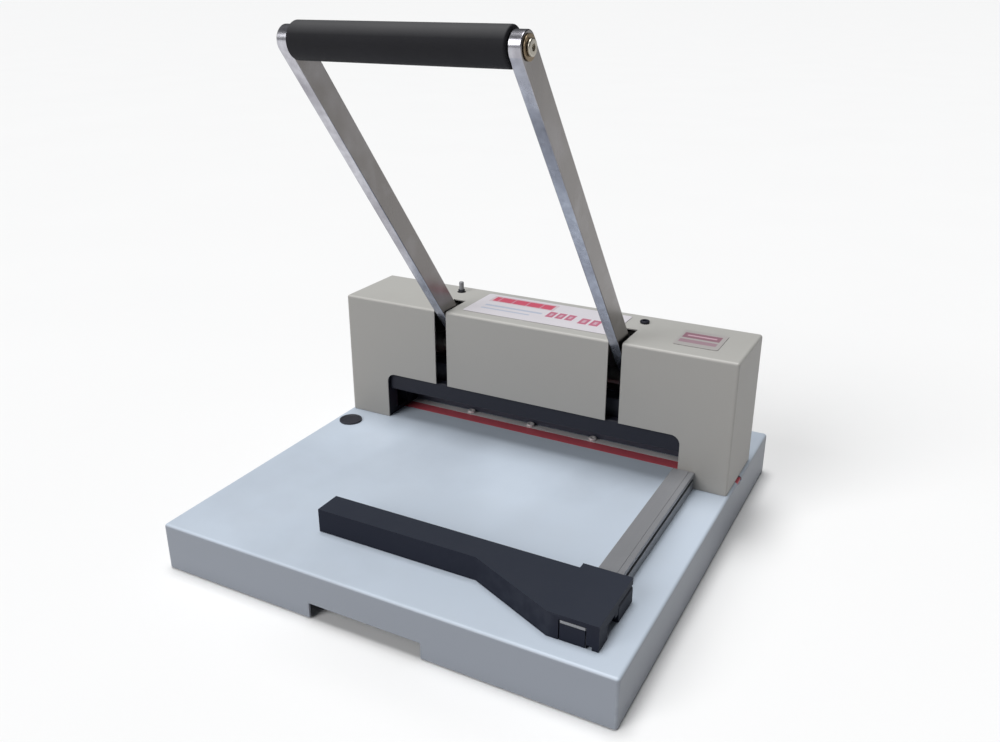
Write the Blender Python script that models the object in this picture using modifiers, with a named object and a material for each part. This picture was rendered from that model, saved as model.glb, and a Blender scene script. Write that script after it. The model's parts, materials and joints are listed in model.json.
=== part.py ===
"""Lever-operated stack paper cutter, built as an assembly of separate pieces.

Frame: metres, +Z up, +X to the operator's right, the operator stands on the -Y side.
The origin is under the centre of the base. A place is written (x, from_front, z), where
from_front is the distance back from the base's front edge.
"""

import math

import bmesh
import bpy
from mathutils import Matrix, Vector

# Clearance between touching pieces
GAP = 0.0003

# Base tray and table
BASE_WIDTH = 0.425
BASE_DEPTH = 0.4275
TABLE_TOP = 0.045
BASE_SHEET = 0.002
BASE_EDGE_RADIUS = 0.003
WALL_FOOT = 0.0015
NOTCH_LEFT = -0.0557
NOTCH_RIGHT = 0.0515
NOTCH_HEIGHT = 0.0157
PLUG_PLACE = (-0.1938, 0.2485)
PLUG_RADIUS = 0.012
PLUG_STEM = 0.009

# Chassis under the table
TUBE_INNER = 0.172
TUBE_OUTER = 0.200
TUBE_BOTTOM = 0.006
TUBE_WALL = 0.002
TUBE_FRONT = 0.016
TUBE_BACK = 0.412
FOOT_RADIUS = 0.011
FOOT_FRONT = 0.040
FOOT_BACK = 0.388

# Sheet-metal cover over the cutting head
COVER_HALF = 0.2098
COVER_FRONT = 0.2763
COVER_BACK = 0.3594
COVER_TOP = 0.177
COVER_SHEET = 0.0015
COVER_EDGE_RADIUS = 0.0025
THROAT_HALF = 0.1622
THROAT_TOP = 0.0957
THROAT_CORNER = 0.009
SLOT_BACK = 0.318
SLOT_INNER = 0.0877
SLOT_OUTER = 0.1012

# Lever: U-shaped handle turning on a shaft inside the cover
PIVOT = (0.331, 0.120)
HANDLE_AXIS = (0.081, 0.4435)
SHAFT_RADIUS = 0.008
SHAFT_HALF = 0.179
ARM_INNER = 0.0886
ARM_OUTER = 0.0986
ARM_HALF_WIDTH = 0.011
ARM_HUB_RADIUS = 0.014
GRIP_RADIUS = 0.014
GRIP_HALF = 0.0881
HANDLE_BAR_RADIUS = 0.008
BOLT_RADIUS = 0.004
BOLT_WASHER = 0.001
BOLT_HEAD = 0.0022

# Cranks on the shaft, which drive the blade beam through slotted yokes
CRANK_INNER = 0.120
CRANK_OUTER = 0.128
CRANK_THROW = 0.0347
CRANK_REST = math.radians(22.75)
CRANK_PIN_RADIUS = 0.005
CRANK_PIN_END = 0.141
YOKE_PLAY = 0.0012
YOKE_SPAN = (0.130, 0.138)

# Side frames and the steel bar that ties them
FRAME_INNER = 0.1625
FRAME_OUTER = 0.1725
FRAME_FRONT = 0.279
FRAME_BACK = 0.3572
FRAME_TOP = 0.165
FRAME_FOOT = 0.196
FRAME_FOOT_TOP = 0.0533
FRAME_BOLT_X = 0.186
FRAME_BOLT_FROM_FRONT = 0.292
FRAME_BOLT_RADIUS = 0.0035
REAR_SCREW_Z = 0.085
SCREW_HOLE_RADIUS = 0.0021
BUSH_RADIUS = 0.012
BRIDGE = (0.333, 0.354, 0.154, 0.164)

# Blade beam and blade, in the raised position
BEAM = (0.294, 0.311, 0.084, 0.112)
BEAM_HALF = 0.1618
BLADE_THICK = 0.004
BLADE_EDGE = 0.0795
BLADE_TOP = 0.110
BLADE_HALF = 0.160
BLADE_BOLTS = (-0.060, 0.060)
BLADE_BOLT_Z = 0.097
BLADE_BOLT_RADIUS = 0.003

# Clamp bar that holds the stack in front of the blade
CLAMP = (0.281, 0.290, 0.077, 0.095)
CLAMP_PIN_X = 0.151
CLAMP_PIN_RADIUS = 0.003
LUG_BOTTOM = 0.106
SPRING_TURNS = 4
SPRING_WIRE = 0.0006
SPRING_RADIUS = 0.0052

# Cutting strip and the steel bar behind it, let into the table
STRIP_FRONT = 0.308
STRIP_BACK = 0.3223
STRIP_THICK = 0.004
STRIP_END = 0.2115
BED_LEFT = -0.172
BAR_BACK = 0.332
BAR_BOLTS = {"left": -0.088, "middle": -0.0155, "right": 0.056}
GUARD_FRONT = 0.3325
GUARD_TOP = 0.103

# Side rail and the paper stop that slides on it
RAIL_LEFT = 0.158
RAIL_RIGHT = 0.1787
RAIL_TOP = 0.0625
RAIL_FRONT = 0.021
RAIL_BACK = COVER_FRONT - GAP
STOP_TOP = 0.067
STOP_LEVER_AXIS = (0.1865, 0.0575)
STOP_LEVER_SPAN = (0.057, 0.086)
STOP_PIN_RADIUS = 0.0010

# Lock pin that stops the lever, and its cam on the shaft
LOCK_PIN = (-0.1075, 0.343)
LOCK_PIN_RADIUS = 0.0035
LOCK_PIN_TIP = 0.1434
LOCK_PIN_TOP = 0.188
CAM_SPAN = (-0.112, -0.103)
CAM_RADIUS = 0.013
CAM_LUG_RADIUS = 0.024

SCREW_PLACE = (0.1005, 0.339)

# Finish name: colour, roughness, metallic
FINISHES = {
    "table_paint": ((0.62, 0.68, 0.76), 0.45, 0.0),
    "cover_paint": ((0.48, 0.46, 0.43), 0.5, 0.0),
    "black_paint": ((0.02, 0.022, 0.028), 0.45, 0.0),
    "polished_steel": ((0.62, 0.59, 0.56), 0.2, 1.0),
    "ground_steel": ((0.5, 0.5, 0.5), 0.35, 1.0),
    "zinc_steel": ((0.55, 0.53, 0.48), 0.4, 1.0),
    "bronze": ((0.5, 0.34, 0.16), 0.4, 1.0),
    "aluminium": ((0.42, 0.42, 0.42), 0.4, 1.0),
    "black_foam": ((0.018, 0.018, 0.02), 0.75, 0.0),
    "slate_plastic": ((0.03, 0.036, 0.045), 0.5, 0.0),
    "black_rubber": ((0.015, 0.015, 0.017), 0.8, 0.0),
    "red_plastic": ((0.27, 0.03, 0.045), 0.45, 0.0),
    "printed_label": ((0.75, 0.68, 0.7), 0.5, 0.0),
}


def place(x, from_front, z):
    """The world position of a place given from the base's front edge."""
    return Vector((x, from_front - BASE_DEPTH / 2, z))


def clear_scene():
    for item in list(bpy.data.objects):
        bpy.data.objects.remove(item, do_unlink=True)


def new_collection(name):
    collection = bpy.data.collections.new(name)
    bpy.context.scene.collection.children.link(collection)
    return collection


def new_finish(name):
    colour, roughness, metallic = FINISHES[name]
    finish = bpy.data.materials.new(name)
    finish.use_nodes = True
    shader = finish.node_tree.nodes["Principled BSDF"]
    shader.inputs["Base Color"].default_value = (*colour, 1)
    shader.inputs["Roughness"].default_value = roughness
    shader.inputs["Metallic"].default_value = metallic
    return finish


clear_scene()
PARTS = new_collection("stack_paper_cutter")
CUTTERS = new_collection("cutters")
MATERIALS = {name: new_finish(name) for name in FINISHES}


# ------------------------------------------------------------------ modelling helpers
def move_to(obj, collection):
    for old in list(obj.users_collection):
        old.objects.unlink(obj)
    collection.objects.link(obj)


def as_part(obj, name, finish, pivot=None):
    """Names the object, gives it its finish and, on a moving piece, hangs it on its pivot."""
    obj.name = obj.data.name = name
    obj.data.materials.clear()
    obj.data.materials.append(MATERIALS[finish])
    obj.data.shade_smooth()
    obj.data.set_sharp_from_angle(angle=math.radians(35))
    move_to(obj, PARTS)
    if pivot:
        obj.parent = pivot
        obj.matrix_parent_inverse = Matrix.Translation(-pivot.location)
    return obj


def as_cutter(obj):
    obj.hide_render = True
    obj.display_type = "WIRE"
    move_to(obj, CUTTERS)
    return obj


def box(low, high):
    """A box between two (x, from_front, z) corners."""
    low, high = place(*low), place(*high)
    bpy.ops.mesh.primitive_cube_add(size=1, location=(low + high) / 2)
    obj = bpy.context.object
    obj.scale = high - low
    bpy.ops.object.transform_apply(location=False, rotation=False, scale=True)
    return obj


def rod(centre, radius, length, axis="Z", sides=24):
    """A cylinder about a (x, from_front, z) centre, along X, Y or Z."""
    turn = {"X": (0, math.pi / 2, 0), "Y": (math.pi / 2, 0, 0), "Z": (0, 0, 0)}[axis]
    bpy.ops.mesh.primitive_cylinder_add(
        vertices=sides, radius=radius, depth=length, location=place(*centre), rotation=turn
    )
    return bpy.context.object


def arc(centre, radius, start, end, steps=12):
    """Points on an arc, with its angles in degrees."""
    angles = [math.radians(start + (end - start) * step / steps) for step in range(steps + 1)]
    return [(centre[0] + radius * math.cos(a), centre[1] + radius * math.sin(a)) for a in angles]


def turned(points, angle, origin):
    """The points turned by an angle in radians about (0, 0) and then moved to the origin."""
    c, s = math.cos(angle), math.sin(angle)
    return [(origin[0] + c * u - s * v, origin[1] + s * u + c * v) for u, v in points]


# Columns: where a flat outline's first and second coordinate and its normal point
PLANES = {
    "XY": Matrix(((1, 0, 0), (0, 1, 0), (0, 0, 1))),
    "YZ": Matrix(((0, 0, 1), (1, 0, 0), (0, 1, 0))),
    "XZ": Matrix(((1, 0, 0), (0, 0, -1), (0, 1, 0))),
}


def plate(outline, plane, low, high, holes=()):
    """A flat outline as a solid between two distances along the plane's normal."""
    curve = bpy.data.curves.new("outline", "CURVE")
    curve.dimensions = "2D"
    curve.fill_mode = "BOTH"
    curve.extrude = (high - low) / 2
    for points in (outline, *holes):
        spline = curve.splines.new("POLY")
        spline.points.add(len(points) - 1)
        for point, (u, v) in zip(spline.points, points):
            point.co = (u, v, 0, 1)
        spline.use_cyclic_u = True
    drawn = bpy.data.objects.new("outline", curve)
    PARTS.objects.link(drawn)
    middle = (low + high) / 2
    shift = {"XY": (0, 0, middle), "YZ": (middle, 0, 0), "XZ": (0, middle, 0)}[plane]
    drawn.matrix_world = Matrix.Translation(place(*shift)) @ PLANES[plane].to_4x4()
    return solid_from_curve(drawn)


def solid_from_curve(drawn):
    """Turns a drawn curve into a mesh object and removes the curve."""
    bpy.context.view_layer.update()
    evaluated = drawn.evaluated_get(bpy.context.evaluated_depsgraph_get())
    mesh = bpy.data.meshes.new_from_object(evaluated)
    work = bmesh.new()
    work.from_mesh(mesh)
    bmesh.ops.remove_doubles(work, verts=work.verts, dist=1e-6)
    bmesh.ops.recalc_face_normals(work, faces=work.faces)
    work.to_mesh(mesh)
    work.free()
    obj = bpy.data.objects.new("solid", mesh)
    obj.matrix_world = drawn.matrix_world
    PARTS.objects.link(obj)
    bpy.data.objects.remove(drawn, do_unlink=True)
    return obj


def folded_sheet(low, high, open_sides, radius, sheet):
    """A folded sheet box whose open sides are given by their normals."""
    obj = box(low, high)
    work = bmesh.new()
    work.from_mesh(obj.data)
    work.normal_update()
    gone = [f for f in work.faces if any(f.normal.dot(Vector(side)) > 0.9 for side in open_sides)]
    bmesh.ops.delete(work, geom=gone, context="FACES")
    work.to_mesh(obj.data)
    work.free()
    round_edges(obj, radius, 3)
    solid = obj.modifiers.new("sheet", "SOLIDIFY")
    solid.thickness = sheet
    solid.offset = -1
    solid.use_even_offset = True
    return obj


def round_edges(obj, width, segments=1):
    bevel = obj.modifiers.new("edges", "BEVEL")
    bevel.width = width
    bevel.segments = segments
    bevel.limit_method = "ANGLE"
    bevel.angle_limit = math.radians(50)


def combine(obj, other, operation):
    boolean = obj.modifiers.new(operation.lower(), "BOOLEAN")
    boolean.operation = operation
    boolean.solver = "EXACT"
    boolean.object = as_cutter(other)


def cut(obj, *cutters):
    for cutter in cutters:
        combine(obj, cutter, "DIFFERENCE")


def join(obj, *others):
    for other in others:
        combine(obj, other, "UNION")


def new_pivot(name, x, from_front, z):
    pivot = bpy.data.objects.new(name, None)
    pivot.location = place(x, from_front, z)
    pivot.empty_display_size = 0.02
    PARTS.objects.link(pivot)
    return pivot


def both_sides():
    return (("left", -1), ("right", 1))


def span(side, inner, outer):
    """Two x values, low first, for a span given by its distances from the middle."""
    return tuple(sorted((side * inner, side * outer)))


# ------------------------------------------------------------------ base
def make_base_tray():
    half = BASE_WIDTH / 2
    tray = folded_sheet(
        (-half, 0, WALL_FOOT), (half, BASE_DEPTH, TABLE_TOP), [(0, 0, -1)], BASE_EDGE_RADIUS, BASE_SHEET
    )
    lift_notch = box((NOTCH_LEFT, -0.005, -0.005), (NOTCH_RIGHT, 0.005, NOTCH_HEIGHT))
    bed_slot = box((BED_LEFT - GAP, STRIP_FRONT - GAP, 0.035), (THROAT_HALF, BAR_BACK + GAP, 0.055))
    strip_way = box(
        (THROAT_HALF - 0.01, STRIP_FRONT - GAP, TABLE_TOP - STRIP_THICK - GAP),
        (half + 0.01, STRIP_BACK + GAP, 0.055),
    )
    plug_hole = rod((*PLUG_PLACE, TABLE_TOP), PLUG_STEM + GAP, 0.02)
    cut(tray, lift_notch, bed_slot, strip_way, plug_hole)
    for _, side in both_sides():
        cut(tray, frame_bolt_hole(side))
    as_part(tray, "base_tray", "table_paint")


def frame_bolt_hole(side):
    place_on_top = (side * FRAME_BOLT_X, FRAME_BOLT_FROM_FRONT, TABLE_TOP)
    return rod(place_on_top, FRAME_BOLT_RADIUS + GAP, 0.03, sides=16)


def make_chassis_tubes():
    for word, side in both_sides():
        x0, x1 = span(side, TUBE_INNER, TUBE_OUTER)
        z1 = TABLE_TOP - BASE_SHEET - GAP
        outer = [(x0, TUBE_BOTTOM), (x1, TUBE_BOTTOM), (x1, z1), (x0, z1)]
        x0, x1 = x0 + TUBE_WALL, x1 - TUBE_WALL
        z0, z1 = TUBE_BOTTOM + TUBE_WALL, z1 - TUBE_WALL
        inner = [(x0, z0), (x1, z0), (x1, z1), (x0, z1)]
        tube = plate(outer, "XZ", TUBE_FRONT, TUBE_BACK, [inner])
        cut(tube, frame_bolt_hole(side))
        if side > 0:
            strip_way = box(
                (0.160, STRIP_FRONT - 0.001, TABLE_TOP - STRIP_THICK - 2 * GAP),
                (0.210, STRIP_BACK + 0.001, 0.05),
            )
            cut(tube, strip_way)
        as_part(tube, f"chassis_tube_{word}", "zinc_steel")


def make_feet():
    middle = (TUBE_INNER + TUBE_OUTER) / 2
    height = TUBE_BOTTOM - GAP
    for word, side in both_sides():
        for where, from_front in (("front", FOOT_FRONT), ("back", FOOT_BACK)):
            foot = rod((side * middle, from_front, height / 2), FOOT_RADIUS, height)
            round_edges(foot, 0.001)
            as_part(foot, f"rubber_foot_{where}_{word}", "black_rubber")


def make_table_plug():
    top = 0.0016
    plug = rod((*PLUG_PLACE, TABLE_TOP + GAP + top / 2), PLUG_RADIUS, top, sides=32)
    round_edges(plug, 0.0006)
    join(plug, rod((*PLUG_PLACE, TABLE_TOP - GAP), PLUG_STEM, 0.003))
    as_part(plug, "table_plug", "black_rubber")


def make_bed():
    bottom = TABLE_TOP - STRIP_THICK - GAP
    beam_half = TUBE_INNER - GAP
    beam = box((-beam_half, 0.305, 0.030), (beam_half, 0.335, bottom))
    bar_start, bar_end = (BED_LEFT, STRIP_BACK + GAP, bottom + GAP), THROAT_HALF - GAP
    bar = box(bar_start, (bar_end, BAR_BACK, TABLE_TOP))
    from_front = (STRIP_BACK + BAR_BACK) / 2
    shank, head, head_radius = 0.0025, 0.0028, 0.0042
    for word, x in BAR_BOLTS.items():
        for piece in (beam, bar):
            cut(piece, rod((x, from_front, TABLE_TOP), shank + GAP, 0.02, sides=12))
        bolt = rod((x, from_front, TABLE_TOP + GAP + head / 2), head_radius, head, sides=16)
        round_edges(bolt, 0.0006)
        join(bolt, rod((x, from_front, TABLE_TOP - 0.003), shank, 0.009, sides=12))
        as_part(bolt, f"bed_bolt_{word}", "zinc_steel")
    as_part(beam, "bed_beam", "ground_steel")
    as_part(bar, "bed_bar", "ground_steel")


def make_cutting_strip():
    pivot = new_pivot("strip_slide", STRIP_END, STRIP_FRONT, TABLE_TOP)
    low, high = TABLE_TOP - STRIP_THICK, TABLE_TOP
    strip = box((BED_LEFT, STRIP_FRONT, low), (STRIP_END, STRIP_BACK, high))
    as_part(strip, "cutting_strip", "red_plastic", pivot)


# ------------------------------------------------------------------ head
def make_side_frames():
    foot = TABLE_TOP + GAP
    for word, side in both_sides():
        outline = [
            (side * FRAME_INNER, foot),
            (side * FRAME_FOOT, foot),
            (side * FRAME_FOOT, FRAME_FOOT_TOP),
            (side * FRAME_OUTER, FRAME_FOOT_TOP),
            (side * FRAME_OUTER, FRAME_TOP),
            (side * FRAME_INNER, FRAME_TOP),
        ]
        frame = plate(outline, "XZ", FRAME_FRONT, FRAME_BACK)
        x0, x1 = span(side, FRAME_INNER - 0.002, FRAME_OUTER + 0.002)
        guide = box((x0, BEAM[0] - 0.0004, 0.050), (x1, BEAM[1] + 0.0004, 0.122))
        middle = side * (FRAME_INNER + FRAME_OUTER) / 2
        cut(frame, guide, rod((middle, *PIVOT), BUSH_RADIUS + GAP, 0.02, "X"))
        cut(frame, rod((middle, FRAME_BACK, REAR_SCREW_Z), SCREW_HOLE_RADIUS, 0.024, "Y", 12))
        cut(frame, frame_bolt_hole(side))
        as_part(frame, f"side_frame_{word}", "black_paint")

        bolt_place = (side * FRAME_BOLT_X, FRAME_BOLT_FROM_FRONT)
        head = 0.005
        bolt = rod((*bolt_place, FRAME_FOOT_TOP + GAP + head / 2), 0.0065, head, sides=6)
        join(bolt, rod((*bolt_place, 0.046), FRAME_BOLT_RADIUS, 0.018, sides=16))
        as_part(bolt, f"frame_bolt_{word}", "zinc_steel")

        bush_end, flange = FRAME_OUTER + 0.0015, 0.0028
        length = bush_end - FRAME_INNER
        bush = rod((side * (FRAME_INNER + bush_end) / 2, *PIVOT), BUSH_RADIUS, length, "X")
        join(bush, rod((side * (FRAME_OUTER + GAP + flange / 2), *PIVOT), 0.0155, flange, "X"))
        cut(bush, rod((middle, *PIVOT), SHAFT_RADIUS + GAP, 0.03, "X"))
        as_part(bush, f"pivot_bush_{word}", "bronze")


def make_bridge_bar():
    front, back, bottom, top = BRIDGE
    half = FRAME_INNER - GAP
    bar = box((-half, front, bottom), (half, back, top))
    pin_hole = rod((*LOCK_PIN, bottom), LOCK_PIN_RADIUS + 0.0004, 0.03, sides=20)
    screw_hole = rod((*SCREW_PLACE, top), 0.0028, 0.016, sides=12)
    cut(bar, pin_hole, screw_hole)
    as_part(bar, "bridge_bar", "ground_steel")


def make_rear_guard():
    """An angled plate behind the cut: an upright wall with a foot that points backwards."""
    front, low = GUARD_FRONT, TABLE_TOP + GAP
    sheet, foot = 0.002, 0.022
    outline = [
        (front, low),
        (front + foot, low),
        (front + foot, low + sheet),
        (front + sheet, low + sheet),
        (front + sheet, GUARD_TOP),
        (front, GUARD_TOP),
    ]
    half = FRAME_INNER - GAP
    as_part(plate(outline, "YZ", -half, half), "rear_guard", "slate_plastic")


def make_housing_cover():
    cover = folded_sheet(
        (-COVER_HALF, COVER_FRONT, TABLE_TOP + GAP),
        (COVER_HALF, COVER_BACK, COVER_TOP),
        [(0, 0, -1), (0, 1, 0)],
        COVER_EDGE_RADIUS,
        COVER_SHEET,
    )
    edge, corner = THROAT_HALF, THROAT_CORNER
    throat = [(-edge, 0.030), (edge, 0.030)]
    throat += arc((edge - corner, THROAT_TOP - corner), corner, 0, 90, 6)
    throat += arc((corner - edge, THROAT_TOP - corner), corner, 90, 180, 6)
    cut(cover, plate(throat, "XZ", COVER_FRONT - 0.005, COVER_FRONT + 0.008))
    for _, side in both_sides():
        x0, x1 = span(side, SLOT_INNER, SLOT_OUTER)
        cut(cover, box((x0, COVER_FRONT - 0.005, 0.090), (x1, SLOT_BACK, COVER_TOP + 0.005)))
    cut(cover, rod((*LOCK_PIN, COVER_TOP), LOCK_PIN_RADIUS + 0.001, 0.01, sides=20))
    cut(cover, rod((*SCREW_PLACE, COVER_TOP), 0.0028, 0.01, sides=12))
    as_part(cover, "housing_cover", "cover_paint")


def make_rear_panel():
    margin = 0.0008
    half = COVER_HALF - COVER_SHEET - margin
    front = FRAME_BACK + GAP
    top = COVER_TOP - COVER_SHEET - margin
    panel = box((-half, front, TABLE_TOP + GAP), (half, front + COVER_SHEET, top))
    for word, side in both_sides():
        x = side * (FRAME_INNER + FRAME_OUTER) / 2
        cut(panel, rod((x, front, REAR_SCREW_Z), SCREW_HOLE_RADIUS, 0.01, "Y", 12))
        head = 0.0018
        middle = front + COVER_SHEET + GAP + head / 2
        screw = rod((x, middle, REAR_SCREW_Z), 0.0038, head, "Y", 16)
        round_edges(screw, 0.0005)
        join(screw, rod((x, front - 0.002, REAR_SCREW_Z), SCREW_HOLE_RADIUS - GAP, 0.010, "Y", 12))
        as_part(screw, f"rear_screw_{word}", "zinc_steel")
    as_part(panel, "rear_panel", "cover_paint")


def make_cover_screw():
    screw = rod((*SCREW_PLACE, COVER_TOP + GAP + 0.0012), 0.0047, 0.0024, sides=20)
    round_edges(screw, 0.0008)
    join(screw, rod((*SCREW_PLACE, 0.169), 0.0025, 0.018, sides=12))
    cut(screw, rod((*SCREW_PLACE, COVER_TOP + 0.003), 0.0019, 0.003, sides=6))
    as_part(screw, "cover_screw", "black_paint")


def make_labels():
    low, high = COVER_TOP + GAP, COVER_TOP + 2 * GAP
    as_part(box((-0.076, 0.290, low), (0.084, 0.350, high)), "label_wide", "printed_label")
    as_part(box((0.142, 0.297, low), (0.184, 0.338, high)), "label_small", "printed_label")


# ------------------------------------------------------------------ lever
def make_lever(pivot):
    reach = Vector(HANDLE_AXIS) - Vector(PIVOT)
    lean = math.atan2(reach.y, reach.x)
    shoulder = math.degrees(math.asin(ARM_HALF_WIDTH / ARM_HUB_RADIUS))
    outline = arc((reach.length, 0), ARM_HALF_WIDTH, -90, 90, 12)
    outline += arc((0, 0), ARM_HUB_RADIUS, shoulder, 360 - shoulder, 20)
    outline = turned(outline, lean, PIVOT)
    for word, side in both_sides():
        middle = side * (ARM_INNER + ARM_OUTER) / 2
        arm = plate(outline, "YZ", *span(side, ARM_INNER, ARM_OUTER))
        round_edges(arm, 0.0006)
        cut(arm, rod((middle, *PIVOT), SHAFT_RADIUS + GAP, 0.02, "X"))
        cut(arm, rod((middle, *HANDLE_AXIS), BOLT_RADIUS + GAP, 0.02, "X", 16))
        as_part(arm, f"lever_arm_{word}", "polished_steel", pivot)
        make_handle_bolt(word, side, pivot)
    make_handle(pivot)
    shaft = rod((0, *PIVOT), SHAFT_RADIUS, 2 * SHAFT_HALF, "X")
    as_part(shaft, "pivot_shaft", "ground_steel", pivot)


def make_handle_bolt(word, side, pivot):
    """A low-headed bolt with its washer turned on, from outside the arm into the handle bar."""
    start = ARM_OUTER + GAP
    rim = start + BOLT_WASHER
    shank_end = 0.078
    bolt = rod((side * (start + rim) / 2, *HANDLE_AXIS), 0.0088, BOLT_WASHER, "X", 24)
    end = rim + BOLT_HEAD
    head = rod((side * (start + end) / 2, *HANDLE_AXIS), 0.0060, end - start, "X", 24)
    shank = rod((side * (rim + shank_end) / 2, *HANDLE_AXIS), BOLT_RADIUS, rim - shank_end, "X", 16)
    join(bolt, head, shank)
    as_part(bolt, f"handle_bolt_{word}", "zinc_steel", pivot)


def make_handle(pivot):
    half = ARM_INNER - 0.0004
    bar = rod((0, *HANDLE_AXIS), HANDLE_BAR_RADIUS, 2 * half, "X")
    for _, side in both_sides():
        cut(bar, rod((side * half, *HANDLE_AXIS), BOLT_RADIUS + GAP, 0.03, "X", 16))
    as_part(bar, "handle_bar", "ground_steel", pivot)
    grip = rod((0, *HANDLE_AXIS), GRIP_RADIUS, 2 * GRIP_HALF, "X", 40)
    round_edges(grip, 0.0015, 2)
    cut(grip, rod((0, *HANDLE_AXIS), HANDLE_BAR_RADIUS + GAP, 0.2, "X"))
    as_part(grip, "handle_grip", "black_foam", pivot)


def make_cranks(pivot):
    """Each crank is a tapered plate on the shaft with its pin pointing outwards."""
    hub, end = 0.012, 0.007
    tangent = math.degrees(math.acos((hub - end) / CRANK_THROW))
    outline = arc((CRANK_THROW, 0), end, -tangent, tangent, 10)
    outline += arc((0, 0), hub, tangent, 360 - tangent, 18)
    outline = turned(outline, math.pi - CRANK_REST, PIVOT)
    pin_place = crank_pin_place()
    for word, side in both_sides():
        crank = plate(outline, "YZ", *span(side, CRANK_INNER, CRANK_OUTER))
        pin_start = (CRANK_INNER + CRANK_OUTER) / 2
        pin_middle = side * (pin_start + CRANK_PIN_END) / 2
        pin_length = CRANK_PIN_END - pin_start
        join(crank, rod((pin_middle, *pin_place), CRANK_PIN_RADIUS, pin_length, "X"))
        cut(crank, rod((side * pin_start, *PIVOT), SHAFT_RADIUS + GAP, 0.02, "X"))
        as_part(crank, f"crank_{word}", "ground_steel", pivot)


def crank_pin_place():
    """The crank pin's (from_front, z) at rest."""
    return (
        PIVOT[0] - CRANK_THROW * math.cos(CRANK_REST),
        PIVOT[1] + CRANK_THROW * math.sin(CRANK_REST),
    )


def make_lock_cam(pivot):
    outline = arc(PIVOT, CAM_LUG_RADIUS, 10, 40, 6) + arc(PIVOT, CAM_RADIUS, 40, 370, 24)
    cam = plate(outline, "YZ", *CAM_SPAN)
    cut(cam, rod((sum(CAM_SPAN) / 2, *PIVOT), SHAFT_RADIUS + GAP, 0.02, "X"))
    as_part(cam, "lock_cam", "ground_steel", pivot)


def make_lock_pin():
    pivot = new_pivot("lock_pin_slide", *LOCK_PIN, COVER_TOP)
    middle, length = (LOCK_PIN_TIP + LOCK_PIN_TOP) / 2, LOCK_PIN_TOP - LOCK_PIN_TIP
    pin = rod((*LOCK_PIN, middle), LOCK_PIN_RADIUS, length)
    round_edges(pin, 0.0008)
    as_part(pin, "lock_pin", "zinc_steel", pivot)


# ------------------------------------------------------------------ blade beam
def make_blade_beam(pivot):
    front, back, bottom, top = BEAM
    lug_half = 0.008
    clamp_middle = (CLAMP[0] + CLAMP[1]) / 2
    beam = box((-BEAM_HALF, front, bottom), (BEAM_HALF, back, top))
    for word, side in both_sides():
        x0, x1 = span(side, CLAMP_PIN_X - lug_half, CLAMP_PIN_X + lug_half)
        join(beam, box((x0, CLAMP[0], LUG_BOTTOM), (x1, front + 0.003, top)))
        pin_hole_place = (side * CLAMP_PIN_X, clamp_middle, top)
        cut(beam, rod(pin_hole_place, CLAMP_PIN_RADIUS + 0.0005, 0.02, sides=16))
        x0, x1 = span(side, FRAME_INNER - 0.0004, FRAME_OUTER - 0.001)
        shoe = box((x0, front + GAP, bottom + 0.002), (x1, back - GAP, top - 0.002))
        as_part(shoe, f"guide_shoe_{word}", "bronze", pivot)
    for x in BLADE_BOLTS:
        cut(beam, rod((x, back, BLADE_BOLT_Z), BLADE_BOLT_RADIUS + GAP, 0.02, "Y", 12))
    as_part(beam, "blade_beam", "black_paint", pivot)


def make_blade(pivot):
    """The blade hangs behind the beam, with its bevel facing the front."""
    front = BEAM[1] + GAP
    back = front + BLADE_THICK
    outline = [
        (back, BLADE_EDGE),
        (back, BLADE_TOP),
        (front, BLADE_TOP),
        (front, BLADE_EDGE + 0.009),
        (back - 0.0003, BLADE_EDGE),
    ]
    head = 0.0026
    blade = plate(outline, "YZ", -BLADE_HALF, BLADE_HALF)
    for word, x in zip(("left", "right"), BLADE_BOLTS):
        cut(blade, rod((x, front, BLADE_BOLT_Z), BLADE_BOLT_RADIUS + GAP, 0.02, "Y", 12))
        bolt = rod((x, back + GAP + head / 2, BLADE_BOLT_Z), 0.0052, head, "Y", 16)
        join(bolt, rod((x, back - 0.0065, BLADE_BOLT_Z), BLADE_BOLT_RADIUS, 0.015, "Y", 12))
        as_part(bolt, f"blade_bolt_{word}", "zinc_steel", pivot)
    as_part(blade, "blade", "ground_steel", pivot)


def make_yokes(pivot):
    """Slotted plates standing on the beam, each with a level slot for its crank's pin."""
    foot, knee = BEAM[3] + GAP, BEAM[3] + GAP + 0.008
    front, back, top = 0.2845, 0.3148, 0.1455
    slot_front, slot_back = 0.2960, 0.3035
    slot_height = CRANK_PIN_RADIUS + YOKE_PLAY
    pin_z = crank_pin_place()[1]
    outline = [(BEAM[0], foot), (BEAM[1], foot), (back, knee), (back, top), (front, top), (front, knee)]
    slot = arc((slot_back, pin_z), slot_height, -90, 90, 8)
    slot += arc((slot_front, pin_z), slot_height, 90, 270, 8)
    for word, side in both_sides():
        yoke = plate(outline, "YZ", *span(side, *YOKE_SPAN), [slot])
        as_part(yoke, f"yoke_{word}", "ground_steel", pivot)


def make_clamp(pivot):
    front, back, bottom, top = CLAMP
    middle = (front + back) / 2
    pin_bottom, pin_top, head = top - 0.009, 0.1132, 0.0035
    pin_middle, pin_length = (pin_bottom + pin_top) / 2, pin_top - pin_bottom
    bar = box((-BEAM_HALF, front, bottom), (BEAM_HALF, back, top))
    round_edges(bar, 0.0008)
    for word, side in both_sides():
        x = side * CLAMP_PIN_X
        cut(bar, rod((x, middle, top), CLAMP_PIN_RADIUS + GAP, 0.02, sides=16))
        pin = rod((x, middle, pin_middle), CLAMP_PIN_RADIUS, pin_length, sides=16)
        join(pin, rod((x, middle, pin_top + head / 2 - 0.0002), 0.0055, head, sides=6))
        as_part(pin, f"clamp_pin_{word}", "zinc_steel", pivot)
    as_part(bar, "clamp_bar", "black_paint", pivot)


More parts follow.
